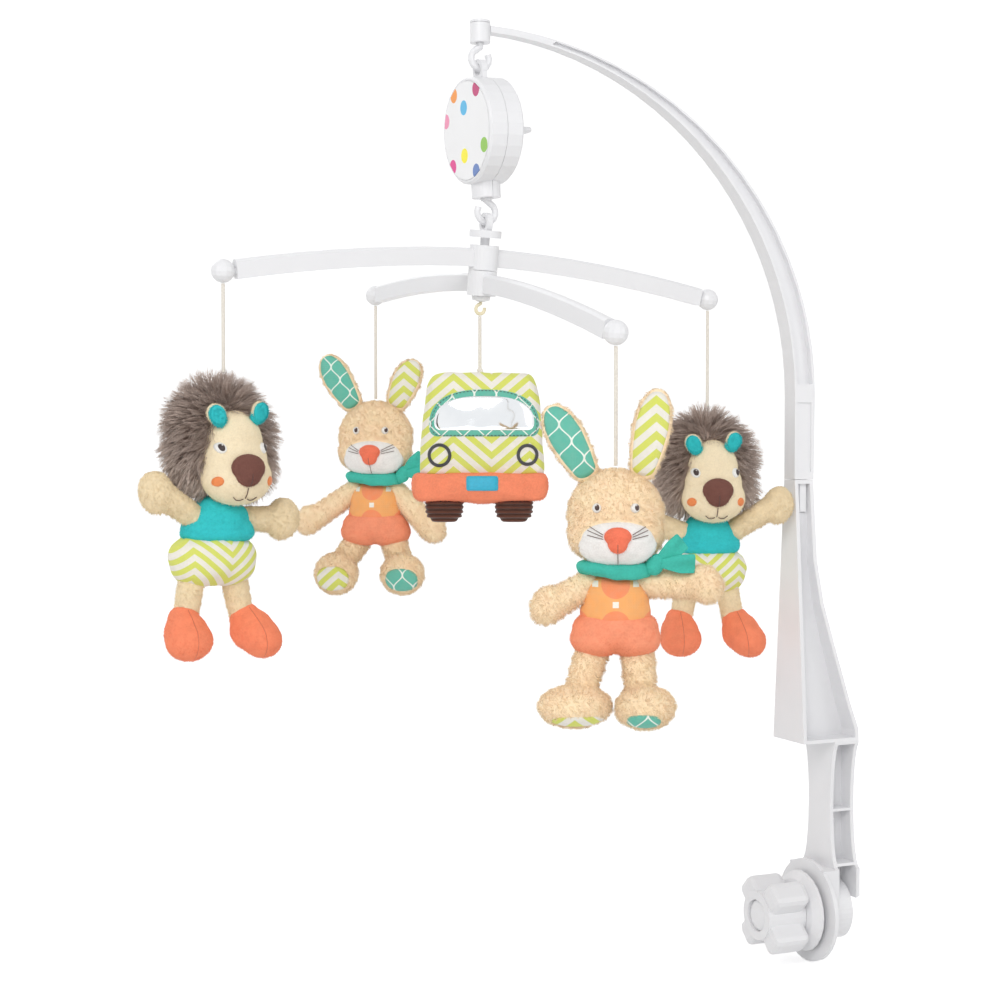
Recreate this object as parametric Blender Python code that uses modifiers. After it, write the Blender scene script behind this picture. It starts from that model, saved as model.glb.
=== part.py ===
"""Crib mobile: a rail clamp and curved arm, a hanging wind-up music box, a four-armed hub and five plush toys.

Metres, +Z up. The origin is on the fixed jaw's flat face, just above the clamp's stud. The face looks along -X,
towards the cot, and the arm reaches out the same way, so that the toys hang over the cot.
"""
import math

import bmesh
import bpy
from mathutils import Matrix, Vector

for item in list(bpy.data.objects):
    bpy.data.objects.remove(item, do_unlink=True)

# Clearances
GAP = 0.0003             # between pieces that touch
RUN = 0.0004             # round a shaft that turns
HANG = 0.0009            # round a wire inside an eye

# Stand
REACH = 0.266            # from the jaw's face to the line that the toys hang round
ARM_EYE_Z = 0.364        # centre of the arm's elliptical bend
ARM_OUTER_RISE = 0.248
ARM_INNER_RISE = 0.2435
ARM_DEPTH = 0.0175       # along the reach, where the arm runs straight down
ARM_WIDTH = 0.014
ARM_TIP_WIDTH = 0.009
ARM_BACK = 0.001         # the arm's back, behind the jaw's face
WALL = 0.003
WEB = 0.005
SEAM_Z = 0.302           # where the arm plugs into the lower post
TONGUE = (0.0055, 0.0095, 0.024)
SHELF_Z = 0.108          # underside of the post's wedge
WEDGE_WIDTH = 0.041
RECESS_FACE = 0.011      # the rail recess's face, behind the jaw's face
RECESS_WAIST = 0.028
LEDGE_Z = 0.013
LEDGE_WIDTH = 0.045
POST_BACK = 0.032
STUD_Z = -0.020
JAW_RADIUS = 0.038
JAW_THICK = 0.003
BOSS_RADIUS = 0.023
BOSS_END = 0.026
CONE_END = 0.012

# Clamp
STUD_RADIUS = 0.0115
STUD_END = 0.044         # in front of the jaw's face
STUD_ROOT = 0.008        # behind the jaw's face
CLAMP_GAP = 0.0035       # between the jaw and the pressure plate at rest
PLATE_RADIUS = 0.030
PLATE_THICK = 0.008
KNOB_LENGTH = 0.032
KNOB_CORE = 0.018
KNOB_RADIUS = 0.030
KNOB_LOBE = 0.019

# Arm tip and hooks
TIP_RADIUS = 0.007
TIP_TOP = 0.6135
TIP_BOTTOM = 0.6005
TIP_FLOOR = 0.0035
CAP_RISE = 0.0024
WIRE = 0.0025            # radius of both hooks' rods
HOOK_BEND = 0.00675      # centre-line radius of both hooks
HOOK_HEAD = 0.0042
HOOK_HEAD_THICK = 0.0025
HOOK_BOTTOM_Z = 0.583    # centre of the upper hook's rod at its lowest point

# Music box, measured from the centre of the rod that it hangs on
BOX_YAW = math.radians(4)
BOX_LEAN = math.radians(-3.2)  # the box hangs askew, and its output hook plumb
BOX_RADIUS = 0.036
BOX_HALF = 0.01275
BOX_DROP = 0.042
BOX_WALL = 0.002
LUG_THICK = 0.004
LUG_RADIUS = 0.0072
LUG_EYE = 0.0041
DISC_RADIUS = 0.033
DISC_THICK = 0.0009
NECK_RADIUS = 0.010
NECK_END = 0.0873
NECK_LIP = 0.003
SHAFT_RADIUS = 0.0038
SHAFT_FLANGE = 0.0065
LOWER_HOOK_DROP = 0.1037  # centre of the lower hook's rod at its lowest point
SCREW_CIRCLE = 0.0285
SCREW_RADIUS = 0.0014
SCREW_HEAD = 0.0027
PILLAR = 0.0042
ARBOR_RADIUS = 0.0025
BARREL_RADIUS = 0.013
BARREL_LENGTH = 0.0075
KEY_WING = (0.004, 0.026, 0.012)
COMB_CYLINDER = 0.0035

# Hub, measured from the centre of the rod that it hangs on, along its own axis
HUB_TILT = math.radians(7.7)
HUB_LEAN = math.radians(1.1)
UPPER_YAW = math.radians(3)
LOWER_YAW = math.radians(2.9)
SPAN = 0.185             # from the hub's axis to each ball's centre
HUB_EYE = 0.0042
SPINDLE = 0.0032
FLANGE_RADIUS = 0.011
FLANGE_TOP = 0.0055
FLANGE_BOTTOM = 0.0105
UPPER_RING = (0.0155, 0.0325)
LOWER_RING = (0.0328, 0.0500)
RING_RADIUS = 0.010
BAR_DROOP = 0.0195
BAR_HEIGHT = 0.0126
BAR_WIDTH = 0.008
BAR_BEVEL = 0.0018
BALL = 0.0078
PEG = 0.0024
PEG_LENGTH = 0.006
TOY_HOOK_DROP = 0.0625
TOY_WIRE = 0.0013
TOY_BEND = 0.0033

# Toys
STRING = 0.00125

MODEL = bpy.data.collections.new("crib_mobile")
CUTTERS = bpy.data.collections.new("cutters")
for group in (MODEL, CUTTERS):
    bpy.context.scene.collection.children.link(group)

ALONG_X = Matrix(((0, 0, 1, 0), (1, 0, 0, 0), (0, 1, 0, 0), (0, 0, 0, 1)))   # (x, y, z) goes to (Y, Z, X)
UPRIGHT = Matrix.Rotation(math.radians(90), 4, "X")                          # (x, y, z) goes to (X, Z, -Y)
QUARTER = math.radians(90)


def look(name, colour, roughness, metallic=0.0):
    material = bpy.data.materials.new(name)
    material.use_nodes = True
    shader = material.node_tree.nodes["Principled BSDF"]
    shader.inputs["Base Color"].default_value = (*colour, 1.0)
    shader.inputs["Roughness"].default_value = roughness
    shader.inputs["Metallic"].default_value = metallic
    material.diffuse_color = (*colour, 1.0)
    return material


def move(x=0.0, y=0.0, z=0.0):
    return Matrix.Translation((x, y, z))


def turn(angle, axis):
    return Matrix.Rotation(angle, 4, axis)


def pivot(name, parent=None, place=None):
    """An empty on a joint's axis, which carries the pieces that turn with it."""
    empty = bpy.data.objects.new(name, None)
    MODEL.objects.link(empty)
    empty.parent = parent
    empty.matrix_basis = place or Matrix()
    bpy.context.view_layer.update()
    return empty


def put(name, data, parent, place, material):
    body = bpy.data.objects.new(name, data)
    MODEL.objects.link(body)
    body.parent = parent
    body.matrix_basis = place or Matrix()
    if material:
        data.materials.append(material)
    return body


def from_bmesh(name, mesh_data, parent, place, material):
    mesh = bpy.data.meshes.new(name)
    mesh_data.to_mesh(mesh)
    mesh_data.free()
    return put(name, mesh, parent, place, material)


def block(name, size, parent=None, place=None, material=None):
    shape = bmesh.new()
    bmesh.ops.create_cube(shape, size=1.0, matrix=Matrix.Diagonal((*size, 1.0)))
    return from_bmesh(name, shape, parent, place, material)


def rod(name, radius, start, end, parent=None, place=None, material=None, sides=18, end_radius=None):
    """A cylinder, or a cone, along its own Z from start to end."""
    shape = bmesh.new()
    bmesh.ops.create_cone(shape, cap_ends=True, segments=sides, radius1=radius,
                          radius2=radius if end_radius is None else end_radius, depth=end - start,
                          matrix=move(z=(start + end) / 2))
    return from_bmesh(name, shape, parent, place, material)


def ball(name, size, parent=None, place=None, material=None, sides=12, rings=7):
    """An ellipsoid of the given width, depth and height."""
    shape = bmesh.new()
    bmesh.ops.create_uvsphere(shape, u_segments=sides, v_segments=rings, radius=0.5,
                              matrix=Matrix.Diagonal((*size, 1.0)))
    return from_bmesh(name, shape, parent, place, material)


def turned(name, profile, parent=None, place=None, material=None, steps=32, closed=False):
    """A solid of revolution about its own Z from (radius, height) points, top to bottom down its outer side."""
    shape = bmesh.new()
    points = [shape.verts.new((radius, 0.0, height)) for radius, height in profile]
    for first, second in zip(points, points[1:]):
        shape.edges.new((first, second))
    if closed:
        shape.edges.new((points[-1], points[0]))
    body = from_bmesh(name, shape, parent, place, material)
    screw = body.modifiers.new("turn", "SCREW")
    screw.steps = steps
    screw.render_steps = steps
    screw.use_merge_vertices = True
    screw.merge_threshold = 0.00002
    screw.use_smooth_shade = False
    return body


def as_mesh(curve):
    """A curve object made into a mesh one, with its caps welded on."""
    bpy.context.view_layer.update()
    mesh = bpy.data.meshes.new_from_object(curve.evaluated_get(bpy.context.evaluated_depsgraph_get()))
    shape = bmesh.new()
    shape.from_mesh(mesh)
    bmesh.ops.remove_doubles(shape, verts=shape.verts, dist=0.00001)
    bmesh.ops.recalc_face_normals(shape, faces=shape.faces)
    shape.to_mesh(mesh)
    shape.free()
    name, parent, place = curve.name, curve.parent, curve.matrix_basis.copy()
    bpy.data.objects.remove(curve, do_unlink=True)
    return put(name, mesh, parent, place, None)


def plate(name, outline, thickness, parent=None, place=None, material=None):
    """A flat outline in its own XY plane, thickened both ways along Z."""
    curve = bpy.data.curves.new(name, "CURVE")
    curve.dimensions = "2D"
    curve.fill_mode = "BOTH"
    curve.extrude = thickness / 2
    spline = curve.splines.new("POLY")
    spline.points.add(len(outline) - 1)
    for point, (x, y) in zip(spline.points, outline):
        point.co = (x, y, 0.0, 1.0)
    spline.use_cyclic_u = True
    return as_mesh(put(name, curve, parent, place, material))


def wire(name, route, radius, parent=None, place=None, material=None, resolution=2):
    """A round rod or cord along a route of points."""
    curve = bpy.data.curves.new(name, "CURVE")
    curve.dimensions = "3D"
    curve.bevel_depth = radius
    curve.bevel_resolution = resolution
    curve.use_fill_caps = True
    spline = curve.splines.new("POLY")
    spline.points.add(len(route) - 1)
    for point, (x, y, z) in zip(spline.points, route):
        point.co = (x, y, z, 1.0)
    return put(name, curve, parent, place, material)


def extrusion(name, route, section, parent):
    """A closed section of (across, up) points carried along a route in the XZ plane."""
    profile = bpy.data.curves.new(f"{name}_section", "CURVE")
    spline = profile.splines.new("POLY")
    spline.points.add(len(section) - 1)
    for point, (across, up) in zip(spline.points, section):
        point.co = (across, up, 0.0, 1.0)
    spline.use_cyclic_u = True
    guide = bpy.data.objects.new(f"{name}_section", profile)
    guide.hide_render = True
    guide.display_type = "WIRE"
    CUTTERS.objects.link(guide)
    path = wire(name, [(x, 0.0, z) for x, z in route], 0.0, parent)
    path.data.twist_mode = "Z_UP"
    path.data.bevel_mode = "OBJECT"
    path.data.bevel_object = guide
    return as_mesh(path)


def combine(body, other, operation):
    other.hide_render = True
    other.display_type = "WIRE"
    MODEL.objects.unlink(other)
    CUTTERS.objects.link(other)
    step = body.modifiers.new(other.name, "BOOLEAN")
    step.operation = operation
    step.object = other
    step.solver = "EXACT"


def cut(body, other):
    combine(body, other, "DIFFERENCE")


def join(body, other):
    combine(body, other, "UNION")


def keep_common(body, other):
    combine(body, other, "INTERSECT")


def soften(body, width, segments=2):
    edge = body.modifiers.new("soften", "BEVEL")
    edge.width = width
    edge.segments = segments
    edge.limit_method = "ANGLE"


def paint(body, material):
    body.data.materials.clear()
    body.data.materials.append(material)


def arc(centre_x, centre_y, radius_x, radius_y, start, end, count):
    """Points along an elliptical arc, from start to end in degrees, both included."""
    angles = [math.radians(start + (end - start) * step / count) for step in range(count + 1)]
    return [(centre_x + radius_x * math.cos(a), centre_y + radius_y * math.sin(a)) for a in angles]


WHITE = look("white_abs", (0.84, 0.84, 0.85), 0.38)
STEEL = look("steel", (0.6, 0.6, 0.62), 0.3, 1.0)
BRASS = look("brass", (0.75, 0.58, 0.28), 0.35, 1.0)
CORD = look("cotton_cord", (0.80, 0.76, 0.67), 0.9)
PRINTED = look("printed_film", (0.88, 0.88, 0.88), 0.35)
MIRROR = look("mirror_film", (0.8, 0.82, 0.84), 0.08, 1.0)
MANE = look("brown_fur", (0.27, 0.19, 0.16), 0.9)
LION_FACE = look("cream_plush", (0.77, 0.63, 0.40), 0.9)
LION_BODY = look("turquoise_plush", (0.03, 0.46, 0.46), 0.9)
RABBIT_FUR = look("curly_plush", (0.87, 0.62, 0.35), 0.9)
RABBIT_BODY = look("coral_plush", (0.91, 0.18, 0.08), 0.9)
SCARF = look("teal_plush", (0.05, 0.45, 0.37), 0.9)
VAN_COTTON = look("chevron_cotton", (0.69, 0.72, 0.10), 0.85)
WHEEL_PLUSH = look("brown_corduroy", (0.10, 0.035, 0.02), 0.9)
POST_FRONT = ARM_BACK - ARM_DEPTH


# ---- Stand and clamp

def side_pockets(body, name, outline, width, web, place=UPRIGHT):
    """Cuts the same pocket into both sides of a plate, down to its web."""
    depth = width / 2
    for side in (-1, 1):
        shift = move(y=side * (web / 2 + depth / 2))
        cut(body, plate(f"{name}_{side}", outline, depth, place=shift @ place))


def back_line(inset):
    """The post's back, from the seam down to the foot of the rail recess."""
    return [(ARM_BACK - 0.0015 - inset, SEAM_Z), (ARM_BACK - 0.0005 - inset, 0.2425),
            (0.0050 - inset, 0.2110), (0.0126 - inset, 0.1825), (0.0254 - inset, 0.1370),
            (POST_BACK - inset, SHELF_Z + 0.009), (POST_BACK - inset, LEDGE_Z)]


def make_post():
    silhouette = [(POST_FRONT, SEAM_Z), *back_line(0.0), (POST_BACK, STUD_Z + 0.012), (JAW_THICK, STUD_Z),
                  (0.0, LEDGE_Z), (RECESS_FACE, LEDGE_Z), (RECESS_FACE, SHELF_Z), (POST_FRONT, SHELF_Z)]
    post = plate("lower_post", silhouette, 2 * JAW_RADIUS, place=UPRIGHT)
    paint(post, WHITE)
    half, wedge, ledge = ARM_WIDTH / 2, WEDGE_WIDTH / 2, LEDGE_WIDTH / 2
    waist_bulge = ledge - RECESS_WAIST / 2
    middle = (SHELF_Z + LEDGE_Z) / 2
    rise = (SHELF_Z - LEDGE_Z) / 2
    right = [(half, SEAM_Z + 0.001), (wedge, SHELF_Z), *arc(ledge, middle, waist_bulge, rise, 90, 270, 12)[1:-1],
             (ledge, LEDGE_Z), (ledge, STUD_Z)]
    front = right + [(-y, z) for y, z in reversed(right)]
    keep_common(post, plate("post_front_view", front, 0.2, place=ALONG_X))
    pocket = [(POST_FRONT + WALL, SEAM_Z - WALL), *back_line(WALL)[1:-2], (POST_BACK - WALL, SHELF_Z + 0.008),
              (POST_BACK - WALL, SHELF_Z + 0.0025), (POST_FRONT + WALL, SHELF_Z + 0.0025)]
    pocket.insert(1, (ARM_BACK - 0.0015 - WALL, SEAM_Z - WALL))
    side_pockets(post, "wedge_pocket", pocket, 2 * JAW_RADIUS, WEB)
    ribs = (SHELF_Z - 0.0005, 0.057, LEDGE_Z + 0.004, STUD_Z)
    for number, (top, bottom) in enumerate(zip(ribs, ribs[1:])):
        inner = RECESS_FACE + WALL
        outline = [(inner, top - 0.002), (POST_BACK - WALL, top - 0.002), (POST_BACK - WALL, bottom), (inner, bottom)]
        side_pockets(post, f"recess_pocket_{number}", outline, 2 * JAW_RADIUS, WEB)
    jaw_place = move(z=STUD_Z) @ ALONG_X
    join(post, rod("jaw_plate", JAW_RADIUS, 0.0, JAW_THICK, place=jaw_place, sides=40))
    join(post, rod("jaw_cone", JAW_RADIUS - 0.004, JAW_THICK - 0.001, CONE_END, place=jaw_place, sides=40,
                   end_radius=BOSS_RADIUS))
    join(post, rod("boss", BOSS_RADIUS, CONE_END - 0.001, BOSS_END, place=jaw_place, sides=40))
    cut(post, rod("stud_seat", STUD_RADIUS + GAP, -0.02, STUD_ROOT + GAP, place=jaw_place, sides=32))
    thick, wide, long = TONGUE
    socket = move(x=POST_FRONT + ARM_DEPTH / 2, z=SEAM_Z - long / 2)
    cut(post, block("tongue_socket", (thick + 2 * GAP, wide + 2 * GAP, long + 2 * GAP), place=socket))


def make_arm():
    centre = -REACH
    outer = arc(centre, ARM_EYE_Z, REACH + ARM_BACK, ARM_OUTER_RISE, 88.7, 0, 22)
    inner = arc(centre, ARM_EYE_Z, REACH + POST_FRONT, ARM_INNER_RISE, 0, 88.6, 22)
    arm = plate("upper_arm", [*outer, (ARM_BACK - 0.001, SEAM_Z + GAP), (POST_FRONT, SEAM_Z + GAP), *inner],
                ARM_WIDTH, place=UPRIGHT)
    paint(arm, WHITE)
    half, tip = ARM_WIDTH / 2, ARM_TIP_WIDTH / 2
    plan = [(centre, -tip), (ARM_BACK - 0.05, -half), (ARM_BACK, -half), (ARM_BACK, half),
            (ARM_BACK - 0.05, half), (centre, tip)]
    keep_common(arm, plate("arm_plan", plan, 1.0, place=move(z=ARM_EYE_Z)))
    rim = 0.0022
    recess = [*arc(centre, ARM_EYE_Z, REACH + ARM_BACK - rim, ARM_OUTER_RISE - 0.0012, 78, 2, 14),
              *arc(centre, ARM_EYE_Z, REACH + POST_FRONT + rim, ARM_INNER_RISE + 0.0012, 2, 78, 14)]
    side_pockets(arm, "arm_recess", recess, ARM_WIDTH, WEB)
    panel = [(POST_FRONT + rim, ARM_EYE_Z - 0.005), (ARM_BACK - rim - 0.001, ARM_EYE_Z - 0.005),
             (ARM_BACK - rim - 0.001, SEAM_Z + 0.006), (POST_FRONT + rim, SEAM_Z + 0.006)]
    side_pockets(arm, "arm_panel", panel, ARM_WIDTH, ARM_WIDTH - 0.0024)
    thick, wide, long = TONGUE
    join(arm, block("tongue", (thick, wide, long + 0.004),
                    place=move(x=POST_FRONT + ARM_DEPTH / 2, z=SEAM_Z - long / 2 + 0.002 + GAP)))
    tip_place = move(x=centre)
    join(arm, rod("tip_tube", TIP_RADIUS, TIP_BOTTOM, TIP_TOP, place=tip_place, sides=32))
    cut(arm, rod("tip_well", HOOK_HEAD + RUN, TIP_BOTTOM + TIP_FLOOR, TIP_TOP + 0.01, place=tip_place))
    cut(arm, rod("tip_hole", WIRE + RUN, TIP_BOTTOM - 0.01, TIP_TOP, place=tip_place))
    plug = HOOK_HEAD + RUN - GAP
    dome = arc(0.0, TIP_TOP + GAP + 0.0015, TIP_RADIUS, CAP_RISE - 0.0015, 90, 0, 4)
    turned("tip_cap", [*dome, (TIP_RADIUS, TIP_TOP + GAP), (plug, TIP_TOP + GAP), (plug, TIP_TOP - 0.003),
                       (0.0, TIP_TOP - 0.003)], place=tip_place, material=WHITE, steps=20)


def make_clamp():
    stud_place = move(z=STUD_Z) @ ALONG_X
    turned("clamp_stud", [(0.0, STUD_ROOT), (STUD_RADIUS, STUD_ROOT), (STUD_RADIUS, -STUD_END + 0.003),
                          *[(r, -STUD_END + z) for r, z in arc(0, 0.003, STUD_RADIUS, 0.003, 0, -90, 5)[1:-1]],
                          (0.0, -STUD_END)], place=stud_place, material=WHITE, steps=24)
    slider = pivot("clamp_slide", place=stud_place)
    bore = STUD_RADIUS + GAP
    back, front = -CLAMP_GAP, -CLAMP_GAP - PLATE_THICK
    turned("pressure_plate", [(bore, back), (PLATE_RADIUS - 0.001, back), (PLATE_RADIUS, back - 0.001),
                              (PLATE_RADIUS - 0.0005, back - 0.003), (PLATE_RADIUS - 0.006, front + 0.001),
                              (KNOB_CORE, front), (bore, front)], parent=slider, material=WHITE, steps=24,
           closed=True)
    spinner = pivot("knob_turn", parent=slider)
    start = front - GAP
    knob = rod("star_knob", KNOB_CORE, start - KNOB_LENGTH, start, parent=spinner, material=WHITE, sides=32)
    for number in range(4):
        angle = math.radians(45 + 90 * number)
        reach = KNOB_RADIUS - KNOB_CORE / 2
        lobe = block(f"lobe_{number}", (reach, KNOB_LOBE, KNOB_LENGTH - 0.002), parent=spinner,
                     place=turn(angle, "Z") @ move(x=KNOB_CORE / 2 + reach / 2, z=start - KNOB_LENGTH / 2))
        soften(lobe, 0.0045)
        join(knob, lobe)
    cut(knob, rod("knob_bore", bore, start - 0.06, start + 0.01, parent=spinner, sides=32))


# ---- Hooks and music box

def hook_route(direction, drop, top):
    """A shank down the axis and a ring round the lowest point of its rod, open on one side at the top."""
    ring = arc(0.0, HOOK_BEND - drop, HOOK_BEND, HOOK_BEND, 90, 390, 12)
    return [(0.0, 0.0, top), (0.0, 0.0, 2 * HOOK_BEND - drop + 0.0012)] + \
        [(direction * x, 0.0, z) for x, z in ring[1:]]


def make_hook(name, direction, drop, head_top, head_radius, head_thick, parent):
    """A hook with a round head that turns on its seat."""
    hook = as_mesh(wire(f"{name}_rod", hook_route(direction, drop, head_top - head_thick / 2), WIRE, parent=parent))
    hook.name = name
    paint(hook, WHITE)
    join(hook, rod(f"{name}_head", head_radius, head_top - head_thick, head_top, parent=parent))
    return hook


def make_top_hook():
    swivel = pivot("hook_swivel", place=move(x=-REACH, z=HOOK_BOTTOM_Z) @ turn(BOX_YAW, "Z"))
    head_top = TIP_BOTTOM + TIP_FLOOR + GAP + HOOK_HEAD_THICK - HOOK_BOTTOM_Z
    make_hook("top_hook", 1, 0.0, head_top, HOOK_HEAD, HOOK_HEAD_THICK, swivel)
    return swivel


def shell(name, profile, side, parent, closed=False):
    """Half of the music box's case: side is -1 for the front and 1 for the rear."""
    facing = ALONG_X if side > 0 else turn(math.pi, "Z") @ ALONG_X
    return turned(name, profile, parent=parent, place=move(z=-BOX_DROP) @ facing, material=WHITE, steps=30,
                  closed=closed)


def add_neck(body, side, parent):
    neck_top = BOX_DROP + BOX_RADIUS - BOX_WALL - 0.001
    neck = rod(f"neck_{side}", NECK_RADIUS, -NECK_END, -neck_top, parent=parent, place=turn(0.06, "Z"), sides=26)
    cut(neck, block(f"neck_half_{side}", (0.1, 0.1, 0.3), parent=parent, place=move(x=-side * (0.05 - GAP / 2))))
    join(body, neck)
    cut(body, rod(f"neck_bore_{side}", SHAFT_RADIUS + RUN, -NECK_END - 0.01, -neck_top, parent=parent))
    cut(body, rod(f"neck_well_{side}", SHAFT_FLANGE + RUN, -NECK_END + NECK_LIP, -neck_top + 0.006, parent=parent))


def screw_places():
    return [move(z=-BOX_DROP) @ turn(math.radians(angle), "X") @ move(z=SCREW_CIRCLE) @ ALONG_X
            for angle in (60, 180 + 40, 300)]


def make_box_shells(parent):
    outer = BOX_HALF
    front = shell("front_shell", [(0.0, outer - 0.001), (DISC_RADIUS + GAP, outer - 0.001),
                                  (DISC_RADIUS + GAP, outer), (BOX_RADIUS - 0.0015, outer),
                                  (BOX_RADIUS, outer - 0.0015), (BOX_RADIUS, GAP / 2),
                                  (BOX_RADIUS - BOX_WALL, GAP / 2), (BOX_RADIUS - BOX_WALL, outer - 0.003),
                                  (0.0, outer - 0.003)], -1, parent)
    bore = ARBOR_RADIUS + RUN
    rear = shell("rear_shell", [(bore, outer + 0.0015), (0.006, outer + 0.0015), (0.007, outer),
                                (BOX_RADIUS - 0.0015, outer), (BOX_RADIUS, outer - 0.0015), (BOX_RADIUS, GAP / 2),
                                (BOX_RADIUS - BOX_WALL, GAP / 2), (BOX_RADIUS - BOX_WALL, outer - BOX_WALL),
                                (bore, outer - BOX_WALL)], 1, parent, closed=True)
    case_top = BOX_RADIUS - BOX_DROP
    eye_z = WIRE + HANG - LUG_EYE
    lug = rod("lug", LUG_RADIUS, -LUG_THICK / 2, LUG_THICK / 2, parent=parent, place=move(z=eye_z) @ ALONG_X)
    lug_base = block("lug_base", (LUG_THICK - 0.0002, 2 * LUG_RADIUS - 0.0008, eye_z - case_top + 0.002), parent=parent,
                     place=move(z=(eye_z + case_top - 0.002) / 2))
    join(lug, lug_base)
    join(rear, lug)
    cut(rear, rod("lug_eye", LUG_EYE, -0.01, 0.01, parent=parent, place=move(z=eye_z) @ ALONG_X))
    notch = (LUG_THICK / 2 + GAP, 2 * (LUG_RADIUS + GAP), 0.012)
    cut(front, block("lug_notch", notch, parent=parent, place=move(x=-notch[0] / 2, z=case_top)))
    for number, place in enumerate(screw_places()):
        join(front, rod(f"front_pillar_{number}", PILLAR, -BOX_HALF + 0.002, -GAP / 2, parent=parent, place=place,
                        sides=12))
        join(rear, rod(f"rear_pillar_{number}", PILLAR, GAP / 2, BOX_HALF - 0.001, parent=parent, place=place,
                       sides=12))
        hole = SCREW_RADIUS + GAP
        cut(front, rod(f"front_hole_{number}", hole, -0.0075, 0.005, parent=parent, place=place, sides=8))
        cut(rear, rod(f"rear_hole_{number}", hole, -0.005, 0.02, parent=parent, place=place, sides=8))
        cut(rear, rod(f"head_seat_{number}", SCREW_HEAD + GAP, BOX_HALF - 0.0035, 0.02, parent=parent, place=place,
                      sides=16))
        head = BOX_HALF - 0.0035 + GAP
        turned(f"case_screw_{number + 1}", [(0.0, head + 0.0018), (SCREW_HEAD, head + 0.0014), (SCREW_HEAD, head),
                                            (SCREW_RADIUS, head), (SCREW_RADIUS, -0.006), (0.0, -0.0072)],
               parent=parent, place=place, material=STEEL, steps=10)
    for number, across in enumerate((-0.017, 0.017)):
        join(rear, rod(f"movement_post_{number}", 0.0022, 0.0005 + GAP, BOX_HALF - 0.001, parent=parent,
                       place=move(y=across, z=-BOX_DROP - 0.012) @ ALONG_X, sides=12))
    add_neck(front, -1, parent)
    add_neck(rear, 1, parent)
    rod("face_disc", DISC_RADIUS, -BOX_HALF - DISC_THICK + 0.001 - GAP, -BOX_HALF + 0.001 - GAP, parent=parent,
        place=move(z=-BOX_DROP) @ ALONG_X, material=PRINTED, sides=40)


def make_movement(parent):
    """The wind-up works between the shells. Its drive runs on smooth wheels."""
    centre = move(z=-BOX_DROP) @ ALONG_X
    mount = block("movement_plate", (0.0015, 0.038, 0.034), parent=parent, place=move(x=-0.00025, z=-BOX_DROP),
                  material=BRASS)
    cut(mount, rod("arbor_hole", ARBOR_RADIUS + RUN, -0.01, 0.01, parent=parent, place=centre))
    arbor_end = BOX_HALF + 0.0065
    winder = pivot("key_turn", parent=parent, place=centre)
    rod("barrel_arbor", ARBOR_RADIUS, -0.001, arbor_end, parent=winder, material=STEEL)
    wing_x, wing_y, wing_z = KEY_WING
    hub_start = BOX_HALF + 0.0015 + GAP
    key = rod("winding_key", 0.0045, hub_start, arbor_end + 0.003, parent=winder, material=WHITE)
    wing = block("key_wing", (wing_y, wing_x, wing_z), parent=winder, place=move(z=arbor_end + wing_z / 2))
    soften(wing, 0.0015)
    join(key, wing)
    cut(key, rod("key_socket", ARBOR_RADIUS + GAP, -0.01, arbor_end + GAP, parent=winder))
    spinner = pivot("barrel_turn", parent=parent, place=centre)
    end, start = BOX_HALF - BOX_WALL - GAP, BOX_HALF - BOX_WALL - GAP - BARREL_LENGTH
    bore = ARBOR_RADIUS + RUN
    turned("spring_barrel", [(bore, end), (BARREL_RADIUS, end), (BARREL_RADIUS, start),
                             (BARREL_RADIUS - 0.0012, start), (BARREL_RADIUS - 0.0012, end - 0.0012),
                             (bore, end - 0.0012)], parent=spinner, material=BRASS, closed=True)
    turns, low, high = 3, bore + 0.0010, BARREL_RADIUS - 0.0022
    count = turns * 12
    coil = [((low + (high - low) * i / count) * math.cos(math.tau * turns * i / count),
             (low + (high - low) * i / count) * math.sin(math.tau * turns * i / count), (start + end) / 2 - 0.0012)
            for i in range(count + 1)]
    wire("mainspring", coil, 0.0006, parent=winder, material=STEEL, resolution=0)
    drum_x = -0.0055
    drum = move(x=drum_x, z=-BOX_DROP + 0.013)
    along_y = turn(QUARTER, "X")
    rod("pin_cylinder", COMB_CYLINDER, -0.012, 0.012, parent=pivot("cylinder_turn", parent, drum @ along_y),
        material=BRASS)
    comb_top = -BOX_DROP + 0.013 - COMB_CYLINDER - GAP
    comb = block("comb", (0.0008, 0.022, 0.014), parent=parent, place=move(x=drum_x + 0.0005, z=comb_top - 0.007),
                 material=STEEL)
    for number in range(10):
        cut(comb, block(f"comb_slot_{number}", (0.01, 0.0006, 0.009), parent=parent,
                        place=move(x=drum_x, y=-0.009 + 0.002 * number, z=comb_top - 0.0044)))
    join(comb, block("comb_foot", (drum_x * -1 - 0.0005 - 0.001 - GAP, 0.022, 0.003), parent=parent,
                     place=move(x=(drum_x + 0.0005 - 0.001 - GAP) / 2, z=comb_top - 0.0125)))
    brake = pivot("governor_turn", parent, move(x=-0.0065, y=0.0165, z=-BOX_DROP + 0.004) @ ALONG_X)
    governor = block("governor", (0.008, 0.0008, 0.005), parent=brake, material=BRASS)
    join(governor, rod("governor_staff", 0.0006, -0.0028, 0.0052, parent=brake, sides=10))


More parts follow.
